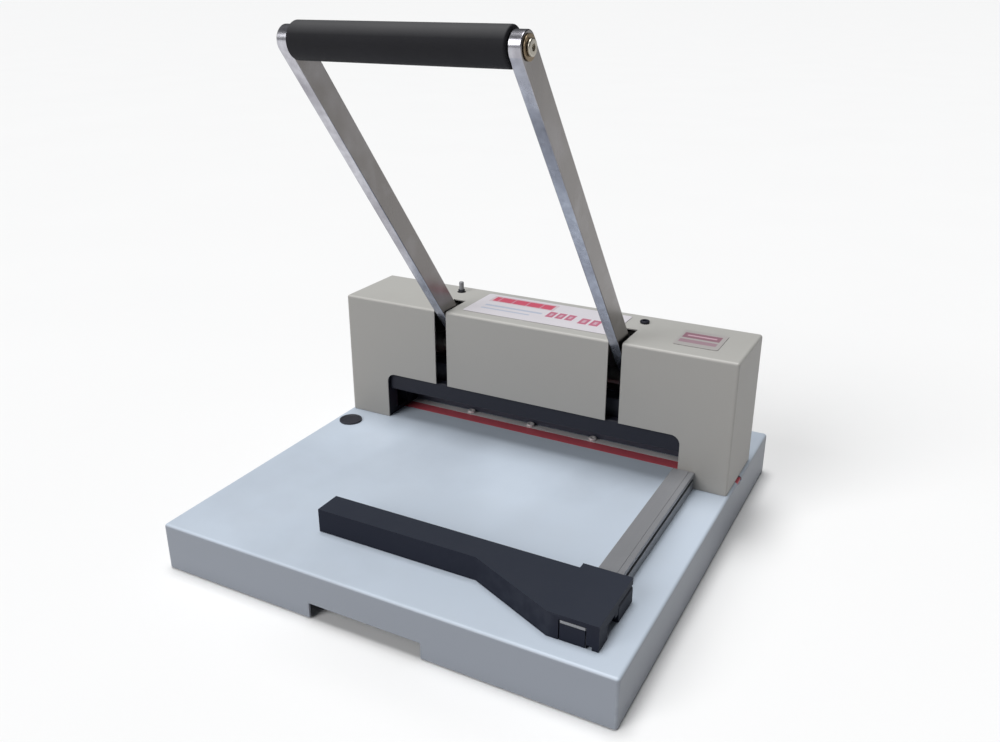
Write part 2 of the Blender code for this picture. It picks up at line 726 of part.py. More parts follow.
def make_clamp_springs(pivot):
    """Each spring is a coil between the clamp bar's top and the beam's lug."""
    middle = (CLAMP[0] + CLAMP[1]) / 2
    low = CLAMP[3] + GAP + SPRING_WIRE
    high = LUG_BOTTOM - GAP - SPRING_WIRE
    steps = SPRING_TURNS * 10
    for word, side in both_sides():
        coil = bpy.data.curves.new("coil", "CURVE")
        coil.dimensions = "3D"
        coil.bevel_depth = SPRING_WIRE
        coil.bevel_resolution = 1
        coil.use_fill_caps = True
        spline = coil.splines.new("POLY")
        spline.points.add(steps)
        for step, point in enumerate(spline.points):
            angle = 2 * math.pi * step / 10
            x, y = SPRING_RADIUS * math.cos(angle), SPRING_RADIUS * math.sin(angle)
            point.co = (x, y, low + (high - low) * step / steps, 1)
        wound = bpy.data.objects.new("coil", coil)
        wound.location = place(side * CLAMP_PIN_X, middle, 0)
        PARTS.objects.link(wound)
        as_part(solid_from_curve(wound), f"clamp_spring_{word}", "zinc_steel", pivot)


# ------------------------------------------------------------------ rail and paper stop
def make_side_rail():
    """An extrusion with an undercut groove along the upper part of its right side."""
    left, right, low, top = RAIL_LEFT, RAIL_RIGHT, TABLE_TOP + GAP, RAIL_TOP
    mouth_low, mouth_high, lip = 0.0545, 0.0585, 0.0022
    outline = [
        (left, low),
        (right, low),
        (right, mouth_low),
        (right - lip, mouth_low),
        (right - lip, mouth_low - 0.0015),
        (right - 0.006, mouth_low - 0.0015),
        (right - 0.006, mouth_high + 0.0015),
        (right - lip, mouth_high + 0.0015),
        (right - lip, mouth_high),
        (right, mouth_high),
        (right, top),
        (left, top),
    ]
    as_part(plate(outline, "XZ", RAIL_FRONT, RAIL_BACK), "side_rail", "aluminium")
    cap_back, cap_inset = RAIL_FRONT - GAP, 0.0004
    cap_start, cap_end = left + cap_inset, right - cap_inset
    cap = box((cap_start, cap_back - 0.0012, low), (cap_end, cap_back, top - 0.003))
    as_part(cap, "rail_end_cap", "slate_plastic")


def make_paper_stop(pivot):
    """A straight arm that widens into a block, with a channel under it for the rail."""
    low = TABLE_TOP + GAP
    outline = [
        (-0.084, 0.0545),
        (0.070, 0.0545),
        (0.148, 0.0193),
        (0.189, 0.0193),
        (0.189, 0.0865),
        (0.149, 0.0865),
        (0.149, 0.080),
        (-0.084, 0.080),
    ]
    stop = plate(outline, "XY", low, STOP_TOP)
    round_edges(stop, 0.001)
    play, below, wall = 0.0005, 0.030, 0.1828
    way_start = (RAIL_LEFT - play, 0.010, below)
    rail_way = box(way_start, (RAIL_RIGHT + play, 0.100, RAIL_TOP + play))
    axis_x, axis_z = STOP_LEVER_AXIS
    lever_room = box((wall, STOP_LEVER_SPAN[0] - play, below), (0.200, 0.100, 0.0612))
    mouth = box((wall, 0.036, below), (0.200, 0.0505, 0.0572))
    ear = box((wall, 0.050, below), (0.200, 0.0575, 0.0535))
    toe = box((0.1795, 0.0150, below), (0.184, 0.0225, 0.0485))
    pin_hole = rod((axis_x, 0.0535, axis_z), STOP_PIN_RADIUS + GAP, 0.010, "Y", 12)
    cut(stop, rail_way, lever_room, mouth, ear, toe, pin_hole)
    as_part(stop, "paper_stop", "slate_plastic", pivot)
    pin = rod((axis_x, 0.0688, axis_z), STOP_PIN_RADIUS, 0.0338, "Y", 12)
    as_part(pin, "stop_lever_pin", "ground_steel", pivot)


def make_stop_lever():
    """The flap that grips the rail: it hangs from its pin, flush with the stop's side."""
    axis_x, axis_z = STOP_LEVER_AXIS
    pivot = new_pivot("stop_lever_hinge", axis_x, sum(STOP_LEVER_SPAN) / 2, axis_z)
    low, half = TABLE_TOP + 0.0008, 0.0027
    outline = arc((axis_x, axis_z), half, 0, 180, 8)
    outline += [(axis_x - half, low), (axis_x + half, low)]
    hole = arc((axis_x, axis_z), STOP_PIN_RADIUS + 0.0004, 0, 330, 11)
    lever = plate(outline, "XZ", *STOP_LEVER_SPAN, [hole])
    as_part(lever, "stop_lever", "slate_plastic", pivot)


def main():
    make_base_tray()
    make_chassis_tubes()
    make_feet()
    make_table_plug()
    make_bed()
    make_cutting_strip()
    make_side_frames()
    make_bridge_bar()
    make_rear_guard()
    make_housing_cover()
    make_rear_panel()
    make_cover_screw()
    make_labels()

    lever_hinge = new_pivot("lever_hinge", 0, *PIVOT)
    make_lever(lever_hinge)
    make_cranks(lever_hinge)
    make_lock_cam(lever_hinge)
    make_lock_pin()

    beam_slide = new_pivot("beam_slide", 0, BEAM[0], BEAM[2])
    make_blade_beam(beam_slide)
    make_blade(beam_slide)
    make_yokes(beam_slide)
    make_clamp_springs(beam_slide)
    make_clamp(new_pivot("clamp_slide", 0, CLAMP[0], CLAMP[2]))

    make_side_rail()
    make_paper_stop(new_pivot("stop_slide", RAIL_RIGHT, RAIL_FRONT, TABLE_TOP))
    make_stop_lever()


main()
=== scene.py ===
"""Visual model of a lever-operated stack paper cutter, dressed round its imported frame.

Frame: metres, +Z up, +X to the operator's right, the operator stands on the -Y side.
"""

import json
import logging
import math
from collections.abc import Callable, Sequence
from dataclasses import dataclass
from enum import Enum

import bmesh
import bpy
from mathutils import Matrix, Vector


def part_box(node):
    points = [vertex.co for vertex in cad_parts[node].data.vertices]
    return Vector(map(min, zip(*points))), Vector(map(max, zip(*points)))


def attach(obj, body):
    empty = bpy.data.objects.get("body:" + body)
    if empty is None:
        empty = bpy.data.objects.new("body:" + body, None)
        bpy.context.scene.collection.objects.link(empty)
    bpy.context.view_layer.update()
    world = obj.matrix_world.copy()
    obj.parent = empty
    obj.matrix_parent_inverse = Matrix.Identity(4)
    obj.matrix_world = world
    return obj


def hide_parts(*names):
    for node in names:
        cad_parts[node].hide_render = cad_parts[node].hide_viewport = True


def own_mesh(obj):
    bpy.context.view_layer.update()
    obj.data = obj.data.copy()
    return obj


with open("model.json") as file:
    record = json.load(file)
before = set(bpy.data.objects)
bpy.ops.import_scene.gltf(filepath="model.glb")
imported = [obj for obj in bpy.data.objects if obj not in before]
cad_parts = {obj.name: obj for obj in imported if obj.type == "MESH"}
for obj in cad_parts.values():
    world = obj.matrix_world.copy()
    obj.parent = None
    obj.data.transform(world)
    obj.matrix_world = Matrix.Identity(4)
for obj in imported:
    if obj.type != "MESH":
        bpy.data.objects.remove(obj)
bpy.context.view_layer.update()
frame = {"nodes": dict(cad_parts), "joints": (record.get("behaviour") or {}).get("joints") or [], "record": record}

LOG = logging.getLogger("stack_cutter")
Box = tuple[Vector, Vector]
Triple = tuple[float, float, float]
Test = Callable[[Vector, Vector], bool]
Material = bpy.types.Material
Piece = bpy.types.Object
Socket = bpy.types.NodeSocket
Tree = bpy.types.NodeTree
SIDES = {"left": -1, "right": 1}
BED_BOLTS = ("bed_bolt_left", "bed_bolt_middle", "bed_bolt_right")
CLEAR = 0.01  # how far a cutter reaches past what it cuts
NEAR = 0.001  # what lies this close to a corner counts as being at it
ALONG = 0.9  # a direction with this much of an axis counts as lying along it
HEAD_RIM, FINE_RIM, HEXAGON, SUNK, SHANK = 0.35, 0.04, 0.48, 1.1, 0.55  # shares of a screw's head


# ------------------------------------------------------------------ finishes
class Texture(Enum):
    """How a finish's surface is broken up."""

    SPRAYED = "sprayed"
    GROUND = "ground"
    POLISHED = "polished"
    FOAM = "foam"
    MOULDED = "moulded"


@dataclass(frozen=True)
class Finish:
    """A surface finish: its name, colours, gloss and the size of its texture."""

    slot: str
    texture: Texture
    colour: Triple
    shade: Triple
    roughness: float
    metallic: float = 0.0
    roughness_swing: float = 0.08
    patch_scale: float = 9.0
    patch_strength: float = 0.5
    relief_scale: float = 900.0
    relief_depth: float = 0.00004
    wear: float = 0.0
    wear_colour: Triple = (0.6, 0.6, 0.6)
    dust: float = 0.0
    specular: float = 0.5
    # Painted light: a lighter colour on upward faces stands in for light from above, so the plain colour reads as
    # painted shade on the sides.
    painted_top_light: Triple | None = None
    # Painted reflection: a darker colour on faces that look left or right stands in for what shiny sides reflect.
    painted_side_reflection: Triple | None = None
    grain_axis: Triple = (0.03, 1.0, 1.0)


# Painted light: the upper faces take a much lighter colour than the walls, as if lit from above.
TABLE_PAINT = Finish(
    "table_paint", Texture.SPRAYED, colour=(0.236, 0.258, 0.299),
    shade=(0.226, 0.247, 0.288), painted_top_light=(0.53, 0.60, 0.69), roughness=0.42,
    roughness_swing=0.04, patch_strength=0.15, relief_scale=1100.0, relief_depth=0.000008,
    wear=0.2, wear_colour=(0.60, 0.64, 0.70), dust=0.05,
)
# Painted light: the upper faces take a lighter colour than the sides, as if lit from above.
COVER_PAINT = Finish(
    "cover_paint", Texture.SPRAYED, colour=(0.322, 0.312, 0.296),
    shade=(0.311, 0.301, 0.286), painted_top_light=(0.455, 0.45, 0.427), roughness=0.48,
    roughness_swing=0.04, patch_strength=0.15, relief_scale=1000.0, relief_depth=0.00001,
    wear=0.25, wear_colour=(0.55, 0.55, 0.53), dust=0.04,
)
BLACK_PAINT = Finish(
    "black_paint", Texture.SPRAYED, colour=(0.013, 0.014, 0.023),
    shade=(0.011, 0.012, 0.020), roughness=0.46, roughness_swing=0.04, patch_strength=0.2,
    relief_depth=0.00001, specular=0.25, wear=0.15, wear_colour=(0.16, 0.16, 0.17),
)
GUARD_PAINT = Finish(
    "guard_paint", Texture.SPRAYED, colour=(0.055, 0.058, 0.088),
    shade=(0.046, 0.049, 0.075), roughness=0.5, roughness_swing=0.04, patch_strength=0.2,
    relief_depth=0.00001, wear=0.15, wear_colour=(0.20, 0.21, 0.24),
)
# Painted reflection: the dark shade colour, laid in strong broad patches, paints reflection streaks along the
# arms, and the side colour paints darker side faces.
POLISHED_STEEL = Finish(
    "polished_steel", Texture.POLISHED, colour=(0.62, 0.62, 0.67),
    shade=(0.26, 0.25, 0.28), painted_side_reflection=(0.195, 0.184, 0.178), roughness=0.26, metallic=1.0,
    roughness_swing=0.14, patch_scale=14.0, patch_strength=0.9, relief_scale=1400.0,
    relief_depth=0.00001, wear=0.5, wear_colour=(0.72, 0.71, 0.69), grain_axis=(1.0, 1.0, 0.04),
)
GROUND_STEEL = Finish(
    "ground_steel", Texture.GROUND, colour=(0.52, 0.52, 0.51),
    shade=(0.36, 0.36, 0.36), roughness=0.34, metallic=1.0,
)
ZINC_STEEL = Finish(
    "zinc_steel", Texture.GROUND, colour=(0.55, 0.52, 0.45),
    shade=(0.34, 0.31, 0.26), roughness=0.36, metallic=1.0, patch_scale=60.0,
    grain_axis=(1.0, 1.0, 1.0),
)
BRONZE = Finish(
    "bronze", Texture.GROUND, colour=(0.30, 0.23, 0.15), shade=(0.16, 0.12, 0.08),
    roughness=0.38, metallic=1.0,
)
ALUMINIUM = Finish(
    "aluminium", Texture.GROUND, colour=(0.29, 0.29, 0.31),
    shade=(0.23, 0.24, 0.25), roughness=0.5, metallic=0.4, relief_scale=1500.0, wear=0.25,
    wear_colour=(0.45, 0.46, 0.47), grain_axis=(1.0, 0.02, 1.0),
)
# Painted light: the grip's upper side takes a far lighter colour, a painted highlight from above.
BLACK_FOAM = Finish(
    "black_foam", Texture.FOAM, colour=(0.009, 0.009, 0.012),
    shade=(0.006, 0.006, 0.008), painted_top_light=(0.066, 0.066, 0.069), roughness=0.72,
    patch_scale=30.0, relief_scale=1300.0, relief_depth=0.00018, dust=0.02, specular=0.25,
)
# Painted light: the stop's upper faces take a lighter colour than its sides.
SLATE_PLASTIC = Finish(
    "slate_plastic", Texture.MOULDED, colour=(0.012, 0.014, 0.025),
    shade=(0.010, 0.012, 0.021), painted_top_light=(0.028, 0.033, 0.047), roughness=0.5,
    roughness_swing=0.05, patch_strength=0.2, relief_scale=1600.0, relief_depth=0.00002,
    wear=0.12, wear_colour=(0.07, 0.08, 0.10), dust=0.005, specular=0.14,
)
BLACK_RUBBER = Finish(
    "black_rubber", Texture.MOULDED, colour=(0.016, 0.017, 0.026),
    shade=(0.010, 0.010, 0.014), roughness=0.62, relief_depth=0.00006,
)
RED_PLASTIC = Finish(
    "red_plastic", Texture.MOULDED, colour=(0.60, 0.105, 0.135),
    shade=(0.52, 0.090, 0.118), roughness=0.45, patch_scale=40.0, grain_axis=(0.05, 1.0, 1.0),
)
DULL_STEEL = Finish(
    "dull_steel", Texture.GROUND, colour=(0.86, 0.83, 0.83),
    shade=(0.78, 0.75, 0.75), roughness=0.55, metallic=0.1, relief_scale=1500.0,
    grain_axis=(0.03, 1.0, 1.0),
)
FINISHES = (
    TABLE_PAINT, COVER_PAINT, BLACK_PAINT, GUARD_PAINT, POLISHED_STEEL, GROUND_STEEL,
    ZINC_STEEL, BRONZE, ALUMINIUM, BLACK_FOAM, SLATE_PLASTIC, BLACK_RUBBER, RED_PLASTIC,
    DULL_STEEL,
)
DUST_COLOUR = (0.42, 0.41, 0.39)
PAINTED_TOP_LIGHT_SHARE = 0.94  # how much of a finish's painted top light shows on its upper faces
# Painted reflection: how much of the darker side colour shows.
PAINTED_SIDE_REFLECTION_SHARE = 1.0


@dataclass(frozen=True)
class Cloud:
    """Soft noise, with the values that are stretched to 0 and to 1."""

    scale: float | Socket
    detail: float
    low: float
    high: float


STREAKS = Cloud(260.0, 4.0, 0.35, 0.70)
BROKEN_WEAR = Cloud(120.0, 6.0, 0.36, 0.62)
DUST_CLOUD = Cloud(26.0, 8.0, 0.42, 0.75)
# Painted light: this cloud breaks up the painted top light.
PAINTED_TOP_LIGHT_CLOUD = Cloud(7.0, 5.0, -0.6, 0.5)
# Painted reflection: this cloud breaks up the darker side colour.
PAINTED_SIDE_REFLECTION_CLOUD = Cloud(30.0, 5.0, -0.9, 0.5)


@dataclass
class NodeTree:
    """A node tree that is wired by short calls."""

    tree: Tree

    def add(self, kind: str, **settings: object) -> bpy.types.Node:
        """Add a node.

        Args:
            kind: The node's Blender type name.
            settings: Attributes to set on the new node.

        Returns:
            The new node.
        """
        node = self.tree.nodes.new(kind)
        for name, value in settings.items():
            setattr(node, name, value)
        return node

    def feed(self, socket: Socket, source: object) -> None:
        """Link a socket to another socket, or set its value.

        Args:
            socket: The input socket.
            source: A socket to link from, or a plain value.
        """
        if isinstance(source, Socket):
            self.tree.links.new(source, socket)
        else:
            socket.default_value = source

    def math(self, operation: str, first: object, second: object = 0.0) -> Socket:
        """Add a Math node.

        Args:
            operation: The Math node's operation.
            first: A socket or number.
            second: A socket or number.

        Returns:
            The result's socket.
        """
        node = self.add("ShaderNodeMath", operation=operation)
        self.feed(node.inputs[0], first)
        self.feed(node.inputs[1], second)
        return node.outputs[0]

    def product(self, first: object, *others: object) -> Socket:
        """Multiply sockets and numbers, and return the result's socket."""
        for other in others:
            first = self.math("MULTIPLY", first, other)
        return first

    def mix(self, factor: object, low: object, high: object) -> Socket:
        """Mix two colours.

        Args:
            factor: How much of the second colour shows.
            low: The first colour, as a socket or three numbers.
            high: The second colour, as a socket or three numbers.

        Returns:
            The mixed colour's socket.
        """
        node = self.add("ShaderNodeMix", data_type="RGBA")
        for name, value in (("Factor", factor), ("A", low), ("B", high)):
            self.feed(node.inputs[name], (*value, 1) if isinstance(value, tuple) else value)
        return node.outputs["Result"]

    def noise(self, vector: Socket, scale: object, detail: float = 3.0) -> Socket:
        """Add a noise texture.

        Args:
            vector: The coordinates' socket.
            scale: The noise's scale, as a socket or a number.
            detail: How many octaves it has.

        Returns:
            The socket of its value.
        """
        node = self.add("ShaderNodeTexNoise")
        self.feed(node.inputs["Vector"], vector)
        self.feed(node.inputs["Scale"], scale)
        node.inputs["Detail"].default_value = detail
        return node.outputs["Fac"]

    def spread(self, value: Socket, low: float, high: float) -> Socket:
        """Stretch a value range onto 0 to 1, clamped.

        Args:
            value: The socket that is stretched.
            low: The value that becomes 0.
            high: The value that becomes 1.

        Returns:
            The stretched value's socket.
        """
        node = self.add("ShaderNodeMapRange", clamp=True)
        self.feed(node.inputs["Value"], value)
        node.inputs["From Min"].default_value = low
        node.inputs["From Max"].default_value = high
        return node.outputs["Result"]

    def cloud(self, vector: Socket, cloud: Cloud) -> Socket:
        """Add a cloud on some coordinates, and return its value's socket."""
        return self.spread(self.noise(vector, cloud.scale, cloud.detail), cloud.low, cloud.high)

    def facing(self) -> bpy.types.bpy_prop_collection:
        """Return the sockets of the surface normal's three parts."""
        split = self.add("ShaderNodeSeparateXYZ")
        self.feed(split.inputs[0], self.add("ShaderNodeNewGeometry").outputs["Normal"])
        return split.outputs


class EffectShelf:
    """The shader node groups that several materials share, each made once."""

    def __init__(self) -> None:
        """Make each group."""
        self.patches = self._patches()
        self.grain = self._grain()
        self.wear = self._wear()
        self.dust = self._tone("settled_dust", "Z", 0.3, 0.95, DUST_CLOUD)
        # Painted light: the mask that gives upward faces their lighter top.
        self.painted_top_light_mask = self._tone("painted_top_light_tone", "Z", 0.35, 0.85, PAINTED_TOP_LIGHT_CLOUD)
        # Painted reflection: the mask that darkens faces looking left or right.
        self.painted_side_reflection_mask = self._tone("painted_side_reflection_tone", "X", 0.35, 0.85, PAINTED_SIDE_REFLECTION_CLOUD)
        self.print_block = self._print_block()

    @staticmethod
    def _group(name: str, numbers: Sequence[str], output: str) -> tuple[NodeTree, dict, Socket]:
        """Start a group with named sockets.

        Args:
            name: The group's name.
            numbers: The names of its inputs, after its Vector.
            output: The output's name.

        Returns:
            The wiring helper, the input sockets by name, and the output's socket.
        """
        tree = bpy.data.node_groups.new(name, "ShaderNodeTree")
        tree.interface.new_socket("Vector", in_out="INPUT", socket_type="NodeSocketVector")
        for label in numbers:
            tree.interface.new_socket(label, in_out="INPUT", socket_type="NodeSocketFloat")
        tree.interface.new_socket(output, in_out="OUTPUT", socket_type="NodeSocketFloat")
        wiring = NodeTree(tree)
        entry = wiring.add("NodeGroupInput")
        leave = wiring.add("NodeGroupOutput")
        return wiring, entry.outputs, leave.inputs[output]

    def _patches(self) -> Tree:
        """Make soft uneven patches of two sizes."""
        wiring, given, result = self._group("uneven_patches", ("Scale", "Strength"), "Mask")
        broad = wiring.cloud(given["Vector"], Cloud(given["Scale"], 4.0, 0.35, 0.68))
        fine_scale = wiring.product(given["Scale"], 6.5)
        fine = wiring.cloud(given["Vector"], Cloud(fine_scale, 5.0, 0.40, 0.70))
        both = wiring.math("ADD", wiring.product(broad, 0.7), wiring.product(fine, 0.3))
        wiring.feed(result, wiring.product(both, given["Strength"]))
        return wiring.tree

    def _grain(self) -> Tree:
        """Make fine relief, which a stretched vector turns into brushed lines."""
        wiring, given, result = self._group("fine_grain", ("Scale", "Depth"), "Height")
        fine = wiring.noise(given["Vector"], given["Scale"], 2.0)
        coarse = wiring.noise(given["Vector"], wiring.product(given["Scale"], 0.22), 2.0)
        both = wiring.math("ADD", wiring.product(fine, 0.65), wiring.product(coarse, 0.35))
        wiring.feed(result, wiring.product(both, given["Depth"]))
        return wiring.tree

    def _wear(self) -> Tree:
        """Make rubbed edges, on rounded faces alone, broken up by noise."""
        wiring, given, result = self._group("rubbed_edges", ("Amount",), "Mask")
        pointed = wiring.add("ShaderNodeNewGeometry").outputs["Pointiness"]
        edge = wiring.spread(pointed, 0.535, 0.61)
        facing = wiring.facing()
        across, back, up = (wiring.math("ABSOLUTE", facing[axis]) for axis in "XYZ")
        flat = wiring.math("MAXIMUM", up, wiring.math("MAXIMUM", across, back))
        rounded = wiring.spread(flat, 0.999, 0.97)
        broken = wiring.cloud(given["Vector"], BROKEN_WEAR)
        wiring.feed(result, wiring.product(edge, rounded, broken, given["Amount"]))
        return wiring.tree

    def _tone(self, name: str, axis: str, low: float, high: float, cloud: Cloud) -> Tree:
        """Make a mask of the faces that look one way, broken up by a cloud.

        Args:
            name: The group's name.
            axis: Z for faces that look up, or X for those that look left or right.
            low: The normal's part along the axis where the mask starts.
            high: The part where it is full.
            cloud: The noise that breaks it up.

        Returns:
            The new group.
        """
        wiring, given, result = self._group(name, ("Amount",), "Mask")
        part = wiring.facing()[axis]
        if axis == "X":
            part = wiring.math("ABSOLUTE", part)
        towards = wiring.spread(part, low, high)
        uneven = wiring.cloud(given["Vector"], cloud)
        wiring.feed(result, wiring.product(towards, uneven, given["Amount"]))
        return wiring.tree

    def _print_block(self) -> Tree:
        """Make one printed block of a label: 1 inside a rectangle and 0 outside."""
        names = ("Centre X", "Centre Y", "Half Width", "Half Depth")
        wiring, given, result = self._group("printed_block", names, "Mask")
        split = wiring.add("ShaderNodeSeparateXYZ")
        wiring.feed(split.inputs[0], given["Vector"])
        inside = []
        for axis, middle, half in (("X", names[0], names[2]), ("Y", names[1], names[3])):
            offset = wiring.math("SUBTRACT", split.outputs[axis], given[middle])
            inside.append(wiring.math("LESS_THAN", wiring.math("ABSOLUTE", offset), given[half]))
        wiring.feed(result, wiring.product(*inside))
        return wiring.tree


@dataclass(frozen=True)
class PrintedBlock:
    """One block of colour on a label, with its place as shares of the label's half size."""

    across: float
    back: float
    half_width: float
    half_depth: float
    colour: Triple


class FinishShop:
    """Makes the materials and hands them out by slot."""

    def __init__(self) -> None:
        """Make the shared effects and a material for each finish."""
        self.effects = EffectShelf()
        self.materials = {finish.slot: self._surface(finish) for finish in FINISHES}

    @staticmethod
    def _start(name: str) -> tuple[Material, NodeTree, bpy.types.Node, Socket]:
        """Start a material.

        Args:
            name: The material's name.

        Returns:
            The material, its wiring helper, its shader, and the Object coordinates' socket.
        """
        material = bpy.data.materials.new(name)
        material.use_nodes = True
        wiring = NodeTree(material.node_tree)
        shader = material.node_tree.nodes["Principled BSDF"]
        place = wiring.add("ShaderNodeTexCoord").outputs["Object"]
        return material, wiring, shader, place

    @staticmethod
    def _effect(wiring: NodeTree, group: Tree, **values: object) -> Socket:
        """Place a shared effect in a material.

        Args:
            wiring: The material's wiring helper.
            group: The effect's node group.
            values: Its inputs, with an underscore for each space in a name.

        Returns:
            The effect's output socket.
        """
        node = wiring.add("ShaderNodeGroup", node_tree=group)
        for name, value in values.items():
            wiring.feed(node.inputs[name.replace("_", " ")], value)
        return node.outputs[0]

    def _surface(self, finish: Finish) -> Material:
        """Make a finish's material.

        Args:
            finish: The finish to make.

        Returns:
            The new material.
        """
        material, wiring, shader, place = self._start(f"{finish.slot}_surface")
        shop = self.effects
        grain_place = place
        strength = finish.patch_strength
        patches = self._effect(
            wiring, shop.patches, Vector=place, Scale=finish.patch_scale, Strength=strength
        )
        colour = wiring.mix(patches, finish.colour, finish.shade)
        if finish.texture in (Texture.GROUND, Texture.POLISHED):
            stretched = wiring.add("ShaderNodeMapping")
            wiring.feed(stretched.inputs["Vector"], place)
            stretched.inputs["Scale"].default_value = finish.grain_axis
            grain_place = stretched.outputs[0]
            streaks = wiring.product(wiring.cloud(grain_place, STREAKS), 0.35)
            colour = wiring.mix(streaks, colour, finish.shade)
        # The first two masks paint light and shade by which way a face looks: a lighter top and darker shiny
        # sides. Wear and dust are the surface's own.
        for effect, amount, tone in (
            (shop.painted_top_light_mask, PAINTED_TOP_LIGHT_SHARE, finish.painted_top_light),
            (shop.painted_side_reflection_mask, PAINTED_SIDE_REFLECTION_SHARE, finish.painted_side_reflection),
            (shop.wear, finish.wear, finish.wear_colour),
            (shop.dust, finish.dust, DUST_COLOUR),
        ):
            if amount and tone:
                mask = self._effect(wiring, effect, Vector=place, Amount=amount)
                colour = wiring.mix(mask, colour, tone)
        wiring.feed(shader.inputs["Base Color"], colour)

        uneven = wiring.noise(grain_place, finish.patch_scale * 5, 5.0)
        swing = wiring.product(uneven, finish.roughness_swing)
        lowest = finish.roughness - finish.roughness_swing / 2
        wiring.feed(shader.inputs["Roughness"], wiring.math("ADD", swing, lowest))
        shader.inputs["Metallic"].default_value = finish.metallic
        shader.inputs["Specular IOR Level"].default_value = finish.specular

        scale, depth = finish.relief_scale, finish.relief_depth
        height = self._effect(wiring, shop.grain, Vector=grain_place, Scale=scale, Depth=depth)
        bump = wiring.add("ShaderNodeBump")
        bump.inputs["Distance"].default_value = 1.0
        wiring.feed(bump.inputs["Height"], height)
        wiring.feed(shader.inputs["Normal"], bump.outputs["Normal"])
        return material

    def label(
        self, name: str, box: Box, ground: Triple, blocks: tuple[PrintedBlock, ...]
    ) -> Material:
        """Make a printed label's material, with plain blocks of colour and no lettering.

        Args:
            name: The material's name.
            box: The label's corners.
            ground: The colour between the blocks.
            blocks: The blocks, with later ones printed over earlier ones.

        Returns:
            The new material.
        """
        material, wiring, shader, place = self._start(name)
        middle, half = (box[0] + box[1]) / 2, (box[1] - box[0]) / 2
        faded = self._effect(wiring, self.effects.patches, Vector=place, Scale=40.0, Strength=0.35)
        colour = wiring.mix(faded, ground, tuple(0.88 * channel for channel in ground))
        for block in blocks:
            mask = self._effect(
                wiring,
                self.effects.print_block,
                Vector=place,
                Centre_X=middle.x + block.across * half.x,
                Centre_Y=middle.y + block.back * half.y,
                Half_Width=block.half_width * half.x,
                Half_Depth=block.half_depth * half.y,
            )
            colour = wiring.mix(mask, colour, block.colour)
        wiring.feed(shader.inputs["Base Color"], colour)
        scuffs = wiring.product(wiring.noise(place, 220.0, 6.0), 0.16)
        wiring.feed(shader.inputs["Roughness"], wiring.math("ADD", scuffs, 0.26))
        return material

    def floor(self) -> Material:
        """Make the plain pale floor's material."""
        material, wiring, shader, place = self._start("studio_floor_surface")
        faint = wiring.mix(wiring.noise(place, 3.0), (0.84, 0.84, 0.84), (0.86, 0.86, 0.86))
        wiring.feed(shader.inputs["Base Color"], faint)
        shader.inputs["Roughness"].default_value = 0.9
        return material


